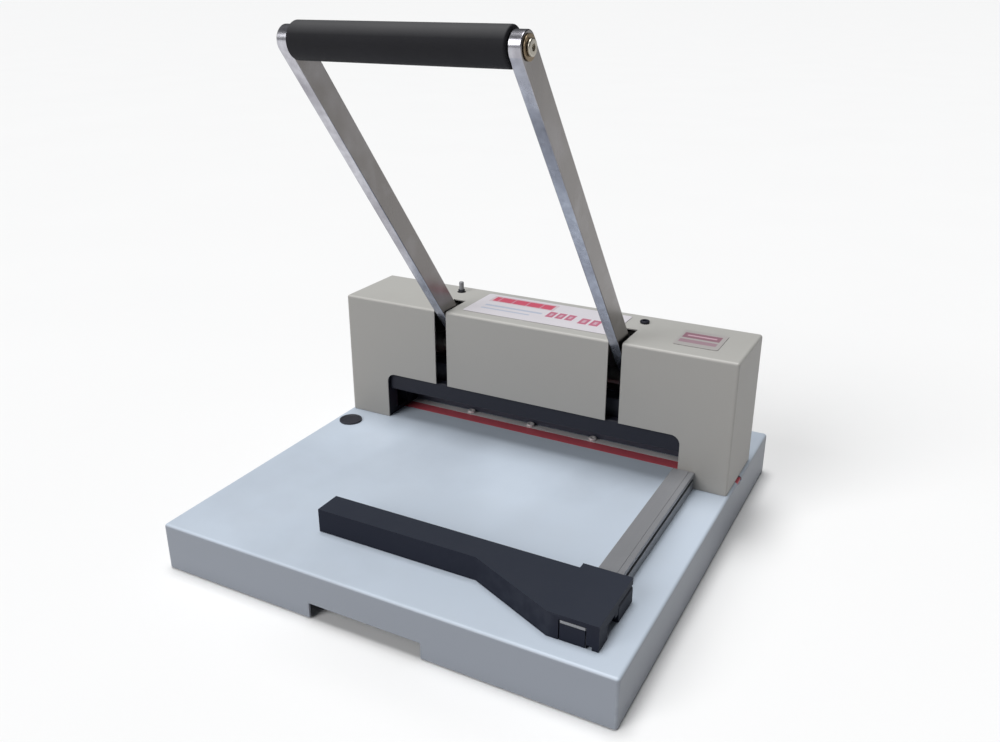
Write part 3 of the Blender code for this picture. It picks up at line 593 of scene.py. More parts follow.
# ------------------------------------------------------------------ modelling
class Bench:
    """The modelling steps that every sub-assembly uses."""

    @staticmethod
    def clear() -> None:
        """Leave edit mode and deselect everything."""
        if bpy.context.mode != "OBJECT":
            bpy.ops.object.mode_set(mode="OBJECT")
        bpy.ops.object.select_all(action="DESELECT")

    @staticmethod
    def hold(piece: Piece) -> None:
        """Select one piece and make it the active one."""
        Bench.clear()
        piece.select_set(True)
        bpy.context.view_layer.objects.active = piece

    @staticmethod
    def settle(piece: Piece) -> Piece:
        """Move a piece's place, turn and scale into its mesh."""
        Bench.hold(piece)
        bpy.ops.object.transform_apply(location=True, rotation=True, scale=True)
        return piece

    @staticmethod
    def named(name: str) -> Piece:
        """Name the primitive that was just added."""
        piece = bpy.context.object
        piece.name = piece.data.name = name
        return piece

    @staticmethod
    def block(name: str, low: Sequence[float], high: Sequence[float]) -> Piece:
        """Add a block between two corners.

        Args:
            name: The piece's name.
            low: Its lowest corner.
            high: Its highest corner.

        Returns:
            The new piece.
        """
        Bench.clear()
        low, high = Vector(low), Vector(high)
        bpy.ops.mesh.primitive_cube_add(size=1, location=(low + high) / 2)
        piece = Bench.named(name)
        piece.scale = high - low
        return Bench.settle(piece)

    @staticmethod
    def bar(
        name: str,
        centre: Sequence[float],
        radius: float,
        length: float,
        axis: str = "Z",
        sides: int = 48,
    ) -> Piece:
        """Add a round bar.

        Args:
            name: The piece's name.
            centre: Its middle.
            radius: Its radius.
            length: Its length.
            axis: The axis that it lies along.
            sides: How many sides it has.

        Returns:
            The new piece.
        """
        Bench.clear()
        quarter = math.pi / 2
        turn = {"X": (0, quarter, 0), "Y": (quarter, 0, 0), "Z": (0, 0, 0)}[axis]
        bpy.ops.mesh.primitive_cylinder_add(
            vertices=sides, radius=radius, depth=length, location=Vector(centre), rotation=turn
        )
        return Bench.settle(Bench.named(name))

    @staticmethod
    def pick(piece: Piece, kind: str, test: Test) -> None:
        """Enter edit mode with some faces, edges or vertices selected.

        Args:
            piece: The piece to edit.
            kind: FACE, EDGE or VERT.
            test: Takes an item's middle and its normal or direction, and picks it or not.
        """
        Bench.hold(piece)
        bpy.ops.object.mode_set(mode="EDIT")
        bpy.ops.mesh.select_mode(type=kind)
        bpy.ops.mesh.select_all(action="DESELECT")
        mesh = bmesh.from_edit_mesh(piece.data)
        if kind == "FACE":
            for face in mesh.faces:
                face.select_set(test(face.calc_center_median(), face.normal))
        elif kind == "EDGE":
            for edge in mesh.edges:
                first, last = (vertex.co for vertex in edge.verts)
                edge.select_set(test((first + last) / 2, (last - first).normalized()))
        else:
            for vertex in mesh.verts:
                vertex.select_set(test(vertex.co, vertex.normal))
        mesh.select_flush_mode()
        bmesh.update_edit_mesh(piece.data)

    @staticmethod
    def bevel(piece: Piece, test: Test, width: float, segments: int) -> None:
        """Round the edges that a test picks.

        Args:
            piece: The piece to change.
            test: Takes an edge's middle and direction, and picks it or not.
            width: The rounding's width.
            segments: How many steps it has.
        """
        Bench.pick(piece, "EDGE", test)
        bpy.ops.mesh.bevel(offset=width, segments=segments, profile=0.5, affect="EDGES")
        Bench.clear()

    @staticmethod
    def shift(piece: Piece, test: Test, way: Triple) -> None:
        """Move the vertices that a test picks.

        Args:
            piece: The piece to change.
            test: Takes a vertex's place and normal, and picks it or not.
            way: How far they move.
        """
        Bench.pick(piece, "VERT", test)
        bpy.ops.transform.translate(value=way)
        Bench.clear()

    @staticmethod
    def apply(piece: Piece, kind: str, **settings: object) -> Piece:
        """Add a modifier and apply it.

        Args:
            piece: The piece to change.
            kind: The modifier's type.
            settings: Its settings.

        Returns:
            The same piece.
        """
        modifier = piece.modifiers.new(kind.lower(), kind)
        for name, value in settings.items():
            setattr(modifier, name, value)
        Bench.hold(piece)
        bpy.ops.object.modifier_apply(modifier=modifier.name)
        return piece

    @staticmethod
    def fold(
        name: str, box: Box, opening: Test, bends: Test, radius: float, thickness: float
    ) -> Piece:
        """Fold a box of sheet metal.

        Args:
            name: The piece's name.
            box: Its corners.
            opening: Picks the faces that are left open.
            bends: Picks the edges that are bent.
            radius: The bends' outer radius.
            thickness: The sheet's thickness.

        Returns:
            The new piece.
        """
        piece = Bench.block(name, *box)
        Bench.pick(piece, "FACE", opening)
        bpy.ops.mesh.delete(type="FACE")
        Bench.bevel(piece, bends, radius, 6)
        return Bench.apply(
            piece, "SOLIDIFY", thickness=thickness, offset=-1, use_even_offset=True
        )

    @staticmethod
    def combine(piece: Piece, operation: str, *others: Piece) -> Piece:
        """Join other pieces on, or cut them away.

        Args:
            piece: The piece to change.
            operation: UNION or DIFFERENCE.
            others: The pieces that are joined on or cut away, which are used up.

        Returns:
            The same piece.
        """
        for other in others:
            Bench.apply(piece, "BOOLEAN", operation=operation, object=other, solver="EXACT")
            bpy.data.objects.remove(other, do_unlink=True)
        return piece

    @staticmethod
    def round_edges(piece: Piece, width: float, segments: int = 3, angle: float = 35.0) -> Piece:
        """Round every sharp edge.

        Args:
            piece: The piece to change.
            width: The rounding's width.
            segments: How many steps it has.
            angle: The sharpest angle, in degrees, that is left alone.

        Returns:
            The same piece.
        """
        return Bench.apply(
            piece,
            "BEVEL",
            width=width,
            segments=segments,
            limit_method="ANGLE",
            angle_limit=math.radians(angle),
            use_clamp_overlap=True,
            harden_normals=False,
        )

    @staticmethod
    def smooth(piece: Piece, angle: float = 30.0) -> Piece:
        """Shade a piece smooth up to an angle in degrees, with its large faces kept flat."""
        Bench.hold(piece)
        bpy.ops.object.shade_smooth_by_angle(angle=math.radians(angle))
        return Bench.apply(
            piece, "WEIGHTED_NORMAL", mode="FACE_AREA", weight=100, keep_sharp=True
        )


@dataclass
class Assembly:
    """A sub-assembly that rides on one body of the frame, with its sizes in metres."""

    shop: FinishShop
    body: str = "base"

    def deliver(
        self,
        piece: Piece,
        slot: str,
        replaces: tuple[str, ...] = (),
        material: Material | None = None,
        body: str | None = None,
    ) -> Piece:
        """Give a piece its finish and set it on its body.

        Args:
            piece: The finished piece.
            slot: The record's material slot.
            replaces: The nodes that the piece stands for.
            material: A material of its own, or None for the slot's.
            body: The body it rides on, or None for the assembly's.

        Returns:
            The same piece.
        """
        Bench.smooth(piece)
        piece.data.materials.clear()
        piece.data.materials.append(material or self.shop.materials[slot])
        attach(piece, body or self.body)
        if replaces:
            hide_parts(*replaces)
        faces = len(piece.data.polygons)
        LOG.info("%s rides on %s and has %d faces", piece.name, body or self.body, faces)
        return piece

    @staticmethod
    def middle(node: str) -> Vector:
        """Return the middle of a node's box."""
        low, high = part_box(node)
        return (low + high) / 2

    def socket_screw(self, node: str, axis: str, head_height: float) -> Piece:
        """Model a round-headed screw with a hexagon socket in place of a node.

        Args:
            node: The node that the screw stands for.
            axis: The axis that its head faces along, Y or Z.
            head_height: The head's height.

        Returns:
            The new screw.
        """
        low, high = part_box(node)
        way = Vector(float(letter == axis) for letter in "XYZ")
        radius = (high.x - low.x) / 2
        length = (high - low).dot(way)
        tip = (low + high) / 2 + way * length / 2
        name = f"screw_{node}"
        screw = Bench.bar(name, tip - way * head_height / 2, radius, head_height, axis)
        Bench.round_edges(screw, min(radius, head_height) * HEAD_RIM, 4)
        socket = Bench.bar("socket", tip, radius * HEXAGON, head_height * SUNK, axis, 6)
        Bench.combine(screw, "DIFFERENCE", socket)
        Bench.round_edges(screw, radius * FINE_RIM, 1)
        shank_length = length - head_height / 2
        shank_middle = tip - way * (head_height / 2 + shank_length / 2)
        shank = Bench.bar("shank", shank_middle, radius * SHANK, shank_length, axis, 24)
        return Bench.combine(screw, "UNION", shank)


@dataclass
class Table(Assembly):
    """The folded base tray, its plug, and the cutting strip let into it."""

    edge_radius: float = 0.003
    sheet: float = 0.002
    notch_left: float = -0.0557
    notch_right: float = 0.0515
    notch_height: float = 0.0157
    gap: float = 0.0003
    bolt_head: float = 0.0028
    bolt_hole: float = 0.0028
    plug_hole: float = 0.0095
    plug_head: float = 0.0016
    plug_stem: float = 0.009
    plug_rim: float = 0.0024
    plug_dish: float = 0.0006
    thumb_radius: float = 0.006
    thumb_rise: float = 0.0042

    def build(self) -> None:
        """Build and dress each piece."""
        self.tray()
        self.plug()
        self.strip()
        self.bar()
        for node in BED_BOLTS:
            screw = self.socket_screw(node, "Z", self.bolt_head)
            self.deliver(screw, "zinc_steel", (node,), self.shop.materials["dull_steel"])

    def tray(self) -> None:
        """Fold the tray, then cut its notch, its slots and the plug's hole."""
        gap = self.gap
        low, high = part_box("base_tray")
        tray = Bench.fold(
            "folded_tray",
            (low, high),
            lambda middle, normal: normal.z < -ALONG,
            lambda middle, along: middle.z > low.z + NEAR,
            self.edge_radius,
            self.sheet,
        )
        notch = Bench.block(
            "notch",
            (self.notch_left, low.y - CLEAR, low.z - CLEAR),
            (self.notch_right, low.y + CLEAR, self.notch_height),
        )
        bed_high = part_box("bed_bar")[1]
        strip_low, strip_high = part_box("cutting_strip")
        slot = Bench.block(
            "slot",
            (strip_low.x - 2 * gap, strip_low.y - gap, high.z - CLEAR),
            (bed_high.x + gap, bed_high.y + gap, high.z + CLEAR),
        )
        way = Bench.block(
            "way",
            (bed_high.x - CLEAR, strip_low.y - gap, strip_low.z - gap),
            (high.x + CLEAR, strip_high.y + gap, high.z + CLEAR),
        )
        plug = self.middle("table_plug")
        hole = Bench.bar("hole", (plug.x, plug.y, high.z), self.plug_hole, 2 * CLEAR)
        Bench.combine(tray, "DIFFERENCE", notch, slot, way, hole)
        self.deliver(tray, "table_paint", ("base_tray",))

    def plug(self) -> None:
        """Turn the plug's head with a raised rim and a dished middle."""
        low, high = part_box("table_plug")
        radius, middle = (high.x - low.x) / 2, (low + high) / 2
        head = high.z - self.plug_head
        centre = (middle.x, middle.y, (head + high.z) / 2)
        plug = Bench.bar("hole_plug", centre, radius, high.z - head, "Z", 64)
        Bench.pick(plug, "FACE", lambda place, normal: normal.z > ALONG)
        bpy.ops.mesh.inset(thickness=self.plug_rim)
        bpy.ops.mesh.inset(thickness=self.plug_dish)
        bpy.ops.transform.translate(value=(0, 0, -self.plug_dish))
        Bench.clear()
        Bench.round_edges(plug, 0.0004, 3)
        centre = (middle.x, middle.y, (low.z + head) / 2)
        stem = Bench.bar("stem", centre, self.plug_stem, head - low.z + 0.0004)
        Bench.combine(plug, "UNION", stem)
        self.deliver(plug, "black_rubber", ("table_plug",))

    def strip(self) -> None:
        """Shape the strip with eased edges and a thumb hollow in its outer end."""
        low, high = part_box("cutting_strip")
        strip = Bench.block("red_strip", low, high)
        centre = (high.x, (low.y + high.y) / 2, high.z + self.thumb_rise)
        hollow = Bench.bar("hollow", centre, self.thumb_radius, 2 * CLEAR, "Y")
        Bench.combine(strip, "DIFFERENCE", hollow)
        Bench.round_edges(strip, 0.0004, 2)
        self.deliver(strip, "red_plastic", ("cutting_strip",), body="strip")

    def bar(self) -> None:
        """Drill the steel bar behind the strip and ease its edges."""
        low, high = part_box("bed_bar")
        bar = Bench.block("drilled_bar", low, high)
        for node in BED_BOLTS:
            middle = self.middle(node)
            hole = Bench.bar("hole", (middle.x, middle.y, high.z), self.bolt_hole, 2 * CLEAR)
            Bench.combine(bar, "DIFFERENCE", hole)
        Bench.round_edges(bar, 0.0003, 2)
        self.deliver(bar, "ground_steel", ("bed_bar",), self.shop.materials["dull_steel"])


@dataclass
class Cover(Assembly):
    """The sheet-metal box over the cutting head, with its labels and screws."""

    bend_radius: float = 0.0026
    sheet: float = 0.0015
    throat_half: float = 0.1622
    throat_top: float = 0.0957
    throat_corner: float = 0.009
    slot_inner: float = 0.0877
    slot_outer: float = 0.1012
    slot_back: float = 0.10425
    slot_drop: float = 0.004
    pin_hole: float = 0.0046
    screw_hole: float = 0.0028
    rear_hole: float = 0.0022
    label_corner: float = 0.0025

    def build(self) -> None:
        """Build and dress each piece."""
        self.box()
        self.rear()
        self.labels()
        self.screws()

    def box(self) -> None:
        """Fold the box, then cut the throat, the lever's slots and the two holes."""
        low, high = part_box("housing_cover")
        box = Bench.fold(
            "folded_cover",
            (low, high),
            lambda middle, normal: normal.z < -ALONG or normal.y > ALONG,
            lambda middle, along: middle.y < high.y - NEAR and middle.z > low.z + NEAR,
            self.bend_radius,
            self.sheet,
        )
        Bench.combine(box, "DIFFERENCE", self._throat(low))
        for side in SIDES.values():
            left, right = sorted((side * self.slot_inner, side * self.slot_outer))
            slot = Bench.block(
                "slot",
                (left, low.y - CLEAR, self.throat_top - self.slot_drop),
                (right, self.slot_back, high.z + CLEAR),
            )
            Bench.combine(box, "DIFFERENCE", slot)
        for node, radius in (("lock_pin", self.pin_hole), ("cover_screw", self.screw_hole)):
            middle = self.middle(node)
            hole = Bench.bar("hole", (middle.x, middle.y, high.z), radius, 0.01)
            Bench.combine(box, "DIFFERENCE", hole)
        Bench.round_edges(box, 0.00035, 2)
        self.deliver(box, "cover_paint", ("housing_cover",))

    def _throat(self, low: Vector) -> Piece:
        """Make the cutter for the throat, with rounded upper corners.

        Args:
            low: The cover's lowest corner.

        Returns:
            The cutter.
        """
        throat = Bench.block(
            "throat",
            (-self.throat_half, low.y - CLEAR, low.z - CLEAR),
            (self.throat_half, low.y + CLEAR, self.throat_top),
        )
        Bench.bevel(
            throat,
            lambda middle, along: abs(along.y) > ALONG and middle.z > low.z,
            self.throat_corner,
            10,
        )
        return throat

    def rear(self) -> None:
        """Make the rear panel with eased edges and its screw holes."""
        low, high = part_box("rear_panel")
        panel = Bench.block("rear_sheet", low, high)
        for side in SIDES:
            middle = self.middle(f"rear_screw_{side}")
            hole = Bench.bar("hole", (middle.x, high.y, middle.z), self.rear_hole, 0.01, "Y")
            Bench.combine(panel, "DIFFERENCE", hole)
        Bench.round_edges(panel, 0.0004, 2)
        self.deliver(panel, "cover_paint", ("rear_panel",))

    def labels(self) -> None:
        """Lay the two printed labels, with plain blocks of colour in place of print."""
        red, rose, pale = (0.60, 0.10, 0.16), (0.52, 0.16, 0.24), (0.60, 0.40, 0.47)
        blue, plum = (0.48, 0.52, 0.62), (0.30, 0.16, 0.20)
        wide = (
            PrintedBlock(-0.42, 0.56, 0.46, 0.30, (0.62, 0.52, 0.56)),
            PrintedBlock(-0.42, 0.56, 0.42, 0.22, red),
            *(PrintedBlock(-0.76 + 0.20 * step, 0.56, 0.006, 0.22, pale) for step in range(4)),
            PrintedBlock(-0.44, -0.14, 0.40, 0.07, blue),
            PrintedBlock(-0.50, -0.46, 0.34, 0.05, blue),
            *(PrintedBlock(0.08 + 0.13 * step, -0.08, 0.050, 0.27, rose) for step in range(3)),
            *(PrintedBlock(0.54 + 0.15 * step, -0.20, 0.058, 0.27, rose) for step in range(2)),
            *(PrintedBlock(0.08 + 0.13 * step, -0.08, 0.018, 0.12, pale) for step in range(3)),
            *(PrintedBlock(0.54 + 0.15 * step, -0.20, 0.022, 0.13, pale) for step in range(2)),
        )
        small = (
            PrintedBlock(-0.04, 0.34, 0.84, 0.34, plum),
            PrintedBlock(-0.04, -0.40, 0.84, 0.20, (0.36, 0.24, 0.28)),
            PrintedBlock(-0.04, 0.34, 0.66, 0.07, pale),
        )
        sheets = (
            ("label_wide", (0.70, 0.675, 0.715), wide),
            ("label_small", (0.43, 0.41, 0.40), small),
        )
        for node, ground, blocks in sheets:
            low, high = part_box(node)
            label = Bench.block(f"printed_{node}", low, high)
            Bench.bevel(
                label, lambda middle, along: abs(along.z) > ALONG, self.label_corner, 6
            )
            material = self.shop.label(f"{node}_print", (low, high), ground, blocks)
            self.deliver(label, "printed_label", (node,), material)

    def screws(self) -> None:
        """Make the screws that hold the cover."""
        for node, axis, height, slot in (
            ("cover_screw", "Z", 0.0024, "black_paint"),
            ("rear_screw_left", "Y", 0.0018, "zinc_steel"),
            ("rear_screw_right", "Y", 0.0018, "zinc_steel"),
        ):
            self.deliver(self.socket_screw(node, axis, height), slot, (node,))


@dataclass
class Lever(Assembly):
    """The two arms, the foam grip on its bar, and the bolts at its ends."""

    body: str = "lever"
    half_width: float = 0.011
    end_share: float = 0.98
    arm_edge: float = 0.0009
    shaft_hole: float = 0.0083
    bolt_hole: float = 0.0043
    grip_rim: float = 0.0042
    grip_edge: float = 0.0026
    washer: float = 0.0087
    washer_bore: float = 0.0045
    washer_gap: float = 0.0003
    washer_end: float = 0.0013
    bolt_head: float = 0.0059
    bolt_edge: float = 0.0009
    bolt_socket: float = 0.0027
    socket_depth: float = 0.0015
    bolt_shank: float = 0.0039

    def __post_init__(self) -> None:
        """Find the pivot and the handle's middle in the frame."""
        hinge = next(joint for joint in frame["joints"] if joint["name"] == "lever_hinge")
        self.pivot = Vector(hinge["pos_m"])
        self.handle = self.middle("handle_grip")

    def build(self) -> None:
        """Build and dress each piece."""
        for word, side in SIDES.items():
            self.arm(word)
            self.bolt(word, side)
        self.grip()
        self.bar_ends()

    def arm(self, word: str) -> None:
        """Shape one flat arm with a round end and rubbed edges.

        Args:
            word: The arm's side, left or right.
        """
        low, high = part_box(f"lever_arm_{word}")
        pivot, handle, half = self.pivot, self.handle, self.half_width
        reach = Vector((0, handle.y - pivot.y, handle.z - pivot.z))
        thick, x = high.x - low.x, (low.x + high.x) / 2
        top = (thick / 2, half, reach.length + half)
        arm = Bench.block(f"steel_arm_{word}", (-thick / 2, -half, -half), top)
        Bench.bevel(
            arm, lambda middle, along: abs(along.x) > ALONG, half * self.end_share, 14
        )
        arm.rotation_euler.x = math.atan2(-reach.y, reach.z)
        arm.location = (x, pivot.y, pivot.z)
        Bench.settle(arm)
        for place, radius in ((pivot, self.shaft_hole), (handle, self.bolt_hole)):
            hole = Bench.bar("hole", (x, place.y, place.z), radius, 3 * CLEAR, "X")
            Bench.combine(arm, "DIFFERENCE", hole)
        Bench.round_edges(arm, self.arm_edge, 4)
        self.deliver(arm, "polished_steel", (f"lever_arm_{word}",))

    def grip(self) -> None:
        """Model the foam grip: rolled ends and a bore for its bar."""
        low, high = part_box("handle_grip")
        radius, length = (high.z - low.z) / 2, high.x - low.x
        grip = Bench.bar("foam_grip", self.handle, radius, length, "X", 72)
        Bench.pick(grip, "FACE", lambda middle, normal: abs(normal.x) > ALONG)
        bpy.ops.mesh.inset(thickness=self.grip_rim)
        Bench.clear()
        bore = Bench.bar("bore", self.handle, self.shaft_hole, length + 2 * CLEAR, "X")
        Bench.combine(grip, "DIFFERENCE", bore)
        Bench.round_edges(grip, self.grip_edge, 5, 50)
        self.deliver(grip, "black_foam", ("handle_grip",))

    def bolt(self, word: str, side: int) -> None:
        """Turn a bronze washer and a low bolt with a hexagon socket, on the arm's outer face.

        Args:
            word: The end's side, left or right.
            side: -1 for the left end and 1 for the right.
        """
        inner, tip = sorted(abs(corner.x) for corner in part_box(f"handle_bolt_{word}"))
        arm = max(abs(corner.x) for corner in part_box(f"lever_arm_{word}"))
        end, gap = arm + self.washer_end, self.washer_gap
        name, turn = f"bronze_washer_{word}", self._turned
        washer = turn(side, name, arm + gap, end, self.washer, 0.0003)
        bore = turn(side, "bore", arm - NEAR, end + NEAR, self.washer_bore, 0)
        Bench.combine(washer, "DIFFERENCE", bore)
        name = f"low_bolt_{word}"
        head = turn(side, name, end + 0.0001, tip, self.bolt_head, self.bolt_edge)
        start = tip - self.socket_depth
        socket = turn(side, "socket", start, tip + NEAR, self.bolt_socket, 0, 6)
        shank = turn(side, "shank", inner, end + 0.0005, self.bolt_shank, 0)
        Bench.combine(head, "DIFFERENCE", socket)
        Bench.combine(head, "UNION", shank)
        self.deliver(washer, "bronze")
        self.deliver(head, "zinc_steel", (f"handle_bolt_{word}",))

    def _turned(
        self,
        side: int,
        name: str,
        start: float,
        end: float,
        radius: float,
        rounding: float,
        sides: int = 48,
    ) -> Piece:
        """Turn a round piece on the handle's axis between two distances from the middle.

        Args:
            side: -1 for the left end and 1 for the right.
            name: The piece's name.
            start: The nearer distance.
            end: The further distance.
            radius: Its radius.
            rounding: The width of its rounded rims, or 0.
            sides: How many sides it has.

        Returns:
            The new piece.
        """
        centre = (side * (start + end) / 2, self.handle.y, self.handle.z)
        piece = Bench.bar(name, centre, radius, end - start, "X", sides)
        if rounding:
            Bench.round_edges(piece, rounding, 5, 60)
        return piece

    def bar_ends(self) -> None:
        """Dress the bar inside the grip, which shows as a thin ring at each end."""
        low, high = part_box("handle_bar")
        bar = Bench.bar("grip_bar", self.handle, (high.z - low.z) / 2, high.x - low.x, "X")
        for word, side in SIDES.items():
            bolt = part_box(f"handle_bolt_{word}")
            inner = min(abs(corner.x) for corner in bolt) - 0.003
            bore = self._turned(side, "bore", inner, high.x + CLEAR, self.bolt_hole, 0)
            Bench.combine(bar, "DIFFERENCE", bore)
        Bench.round_edges(bar, 0.0005, 2, 50)
        self.deliver(bar, "ground_steel", ("handle_bar",))


@dataclass
class PaperStop(Assembly):
    """The moulded stop that slides on the side rail."""

    body: str = "stop"
    arm_front: float = -0.15925
    arm_back: float = -0.13375
    flare_start: float = 0.070
    flare_end: float = 0.148
    edge: float = 0.0011
    flare_lap: float = 0.004
    way_gap: float = 0.0005
    room_top: float = 0.0612
    mouth_top: float = 0.0572
    ear_top: float = 0.0535
    toe_left: float = 0.1795
    toe_right: float = 0.1838
    toe_back: float = 0.0032
    toe_top: float = 0.0485

    def build(self) -> None:
        """Build and dress each piece."""
        self.casting()
        self.pin()

    def casting(self) -> None:
        """Join the arm, its flare and the block, then cut the rail's way and the recesses."""
        low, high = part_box("paper_stop")
        rail_low, rail_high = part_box("side_rail")
        front, back, lap = self.arm_front, self.arm_back, self.flare_lap
        top = (self.flare_end + 0.005, back, high.z)
        stop = Bench.block("moulded_stop", (low.x, front, low.z), top)
        top = (self.flare_end + lap, back - NEAR, high.z)
        flare = Bench.block("flare", (self.flare_start, low.y, low.z), top)
        Bench.shift(
            flare,
            lambda place, normal: place.x < self.flare_end and place.y < front,
            (0, front - low.y, 0),
        )
        Bench.shift(
            flare,
            lambda place, normal: place.x > self.flare_end and place.y < front,
            (-lap, 0, 0),
        )
        block = Bench.block("block", (self.flare_end, low.y, low.z), high)
        Bench.combine(stop, "UNION", flare, block)
        way = Bench.block(
            "way",
            (rail_low.x - self.way_gap, low.y - CLEAR, low.z - CLEAR),
            (rail_high.x + self.way_gap, high.y + CLEAR, rail_high.z + self.way_gap),
        )
        Bench.combine(stop, "DIFFERENCE", way, *self._side_cutters(low, high))
        Bench.round_edges(stop, self.edge, 3)
        self.deliver(stop, "slate_plastic", ("paper_stop",))

    def _side_cutters(self, low: Vector, high: Vector) -> list[Piece]:
        """Make the cutters for the hand lever's room, its mouth and the toe notch.

        Args:
            low: The stop's lowest corner.
            high: Its highest corner.

        Returns:
            The cutters.
        """
        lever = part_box("stop_lever")[0]
        below = low.z - CLEAR
        rows = (
            ("room", lever.y - 0.0005, high.y + CLEAR, self.room_top),
            ("mouth", lever.y - 0.021, lever.y - 0.0065, self.mouth_top),
            ("ear", lever.y - 0.007, lever.y + 0.0005, self.ear_top),
        )
        left, right = lever.x - NEAR, high.x + CLEAR
        cutters = [
            Bench.block(name, (left, front, below), (right, back, top))
            for name, front, back, top in rows
        ]
        corner = (self.toe_right, low.y + self.toe_back, self.toe_top)
        toe = Bench.block("toe", (self.toe_left, low.y - CLEAR, below), corner)
        return [*cutters, toe]

    def pin(self) -> None:
        """Turn the hand lever's pin with rounded ends."""
        low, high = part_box("stop_lever_pin")
        radius, length = (high.x - low.x) / 2, high.y - low.y
        pin = Bench.bar("lever_pin", (low + high) / 2, radius, length, "Y", 24)
        Bench.round_edges(pin, 0.0003, 2)
        self.deliver(pin, "ground_steel", ("stop_lever_pin",))


@dataclass
class SideRail(Assembly):
    """The extruded rail with an undercut groove, and the plate on its front end."""

    mouth_depth: float = 0.003
    mouth_low: float = 0.0545
    mouth_high: float = 0.0585
    undercut_depth: float = 0.006
    undercut_lip: float = 0.0022
    undercut_low: float = 0.0530
    undercut_high: float = 0.0600
    scribe_left: float = 0.0155
    scribe_right: float = 0.0162
    scribe_depth: float = 0.0005
    edge: float = 0.0004
    plate_gap: float = 0.0003

    def build(self) -> None:
        """Build and dress each piece."""
        self.rail()
        self.end_plate()

    def end_plate(self) -> None:
        """Set a bare metal edge on the rail's end, just above its dark cap."""
        low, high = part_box("rail_end_cap")
        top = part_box("side_rail")[1].z - self.plate_gap
        corner = (low.x, low.y + self.plate_gap, high.z + 0.0002)
        plate = Bench.block("rail_end_plate", corner, (high.x, high.y, top))
        Bench.round_edges(plate, 0.0003, 2)
        self.deliver(plate, "aluminium")

    def rail(self) -> None:
        """Cut the groove, its undercut and a scribed line into the rail."""
        low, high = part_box("side_rail")
        x, left, top = high.x, low.x, high.z
        depth, lip = self.undercut_depth, self.undercut_lip
        rows = (
            ("mouth", x - self.mouth_depth, x + CLEAR, self.mouth_low, self.mouth_high),
            ("undercut", x - depth, x - lip, self.undercut_low, self.undercut_high),
            (
                "scribe",
                left + self.scribe_left,
                left + self.scribe_right,
                top - self.scribe_depth,
                top + CLEAR,
            ),
        )
        rail = Bench.block("grooved_rail", low, high)
        for name, near, far, bottom, upper in rows:
            cutter = Bench.block(
                name, (near, low.y - CLEAR, bottom), (far, high.y + CLEAR, upper)
            )
            Bench.combine(rail, "DIFFERENCE", cutter)
        Bench.round_edges(rail, self.edge, 2)
        self.deliver(rail, "aluminium", ("side_rail",))


@dataclass
class LockPin(Assembly):
    """The pin that stops the lever."""

    body: str = "lock_pin"
    pin_share: float = 0.72
    bore_share: float = 0.74
    collar_rise: float = 0.0028

    def build(self) -> None:
        """Turn a slim pin with a collar where it enters the cover."""
        low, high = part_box("lock_pin")
        middle, radius, length = (low + high) / 2, (high.x - low.x) / 2, high.z - low.z
        pin = Bench.bar("turned_pin", middle, radius * self.pin_share, length)
        Bench.round_edges(pin, 0.0008, 3, 50)
        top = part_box("housing_cover")[1].z + self.collar_rise
        centre = (middle.x, middle.y, (low.z + top) / 2)
        collar = Bench.bar("collar", centre, radius, top - low.z)
        bore = Bench.bar("bore", middle, radius * self.bore_share, length + CLEAR)
        Bench.combine(collar, "DIFFERENCE", bore)
        Bench.round_edges(collar, 0.0004, 2, 50)
        self.deliver(collar, "black_rubber")
        self.deliver(pin, "zinc_steel", ("lock_pin",), self.shop.materials["aluminium"])


@dataclass
class Springs(Assembly):
    """The two coils that push the clamp bar down from the blade beam."""

    body: str = "beam"
    wire: float = 0.0006
    radius: float = 0.0052
    turns: int = 5
    fixed_end: float = 0.1057
    keep: float = 0.70

    def build(self) -> None:
        """Wind each coil and give it a mesh of its own."""
        for word in ("left", "right"):
            node = f"clamp_spring_{word}"
            low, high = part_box(node)
            middle = (low + high) / 2
            coil = self._coil(f"wound_spring_{word}", middle, low.z, high.z)
            self.deliver(coil, "zinc_steel", (node,))
            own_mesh(coil)

    def _coil(self, name: str, middle: Vector, bottom: float, top: float) -> Piece:
        """Wind one coil by screwing a ring of wire round the spring's axis.

        Args:
            name: The coil's name.
            middle: The coil's middle.
            bottom: Its lowest height.
            top: Its highest height.

        Returns:
            The new coil.
        """
        rise = top - bottom - 2 * self.wire
        Bench.clear()
        bpy.ops.mesh.primitive_circle_add(
            vertices=12,
            radius=self.wire,
            fill_type="NOTHING",
            location=(self.radius, 0, bottom + self.wire),
            rotation=(math.pi / 2, 0, 0),
        )
        coil = bpy.context.object
        coil.name = coil.data.name = name
        Bench.settle(coil)
        Bench.apply(
            coil,
            "SCREW",
            axis="Z",
            angle=2 * math.pi,
            screw_offset=rise / self.turns,
            iterations=self.turns,
            steps=24,
            render_steps=24,
            use_merge_vertices=False,
        )
        Bench.pick(coil, "EDGE", lambda place, along: True)
        bpy.ops.mesh.remove_doubles(threshold=0.000001)
        bpy.ops.mesh.select_all(action="DESELECT")
        bpy.ops.mesh.select_non_manifold()
        bpy.ops.mesh.edge_face_add()
        bpy.ops.mesh.select_all(action="SELECT")
        bpy.ops.mesh.normals_make_consistent(inside=False)
        bpy.ops.object.mode_set(mode="OBJECT")
        coil.location = (middle.x, middle.y, 0)
        return Bench.settle(coil)


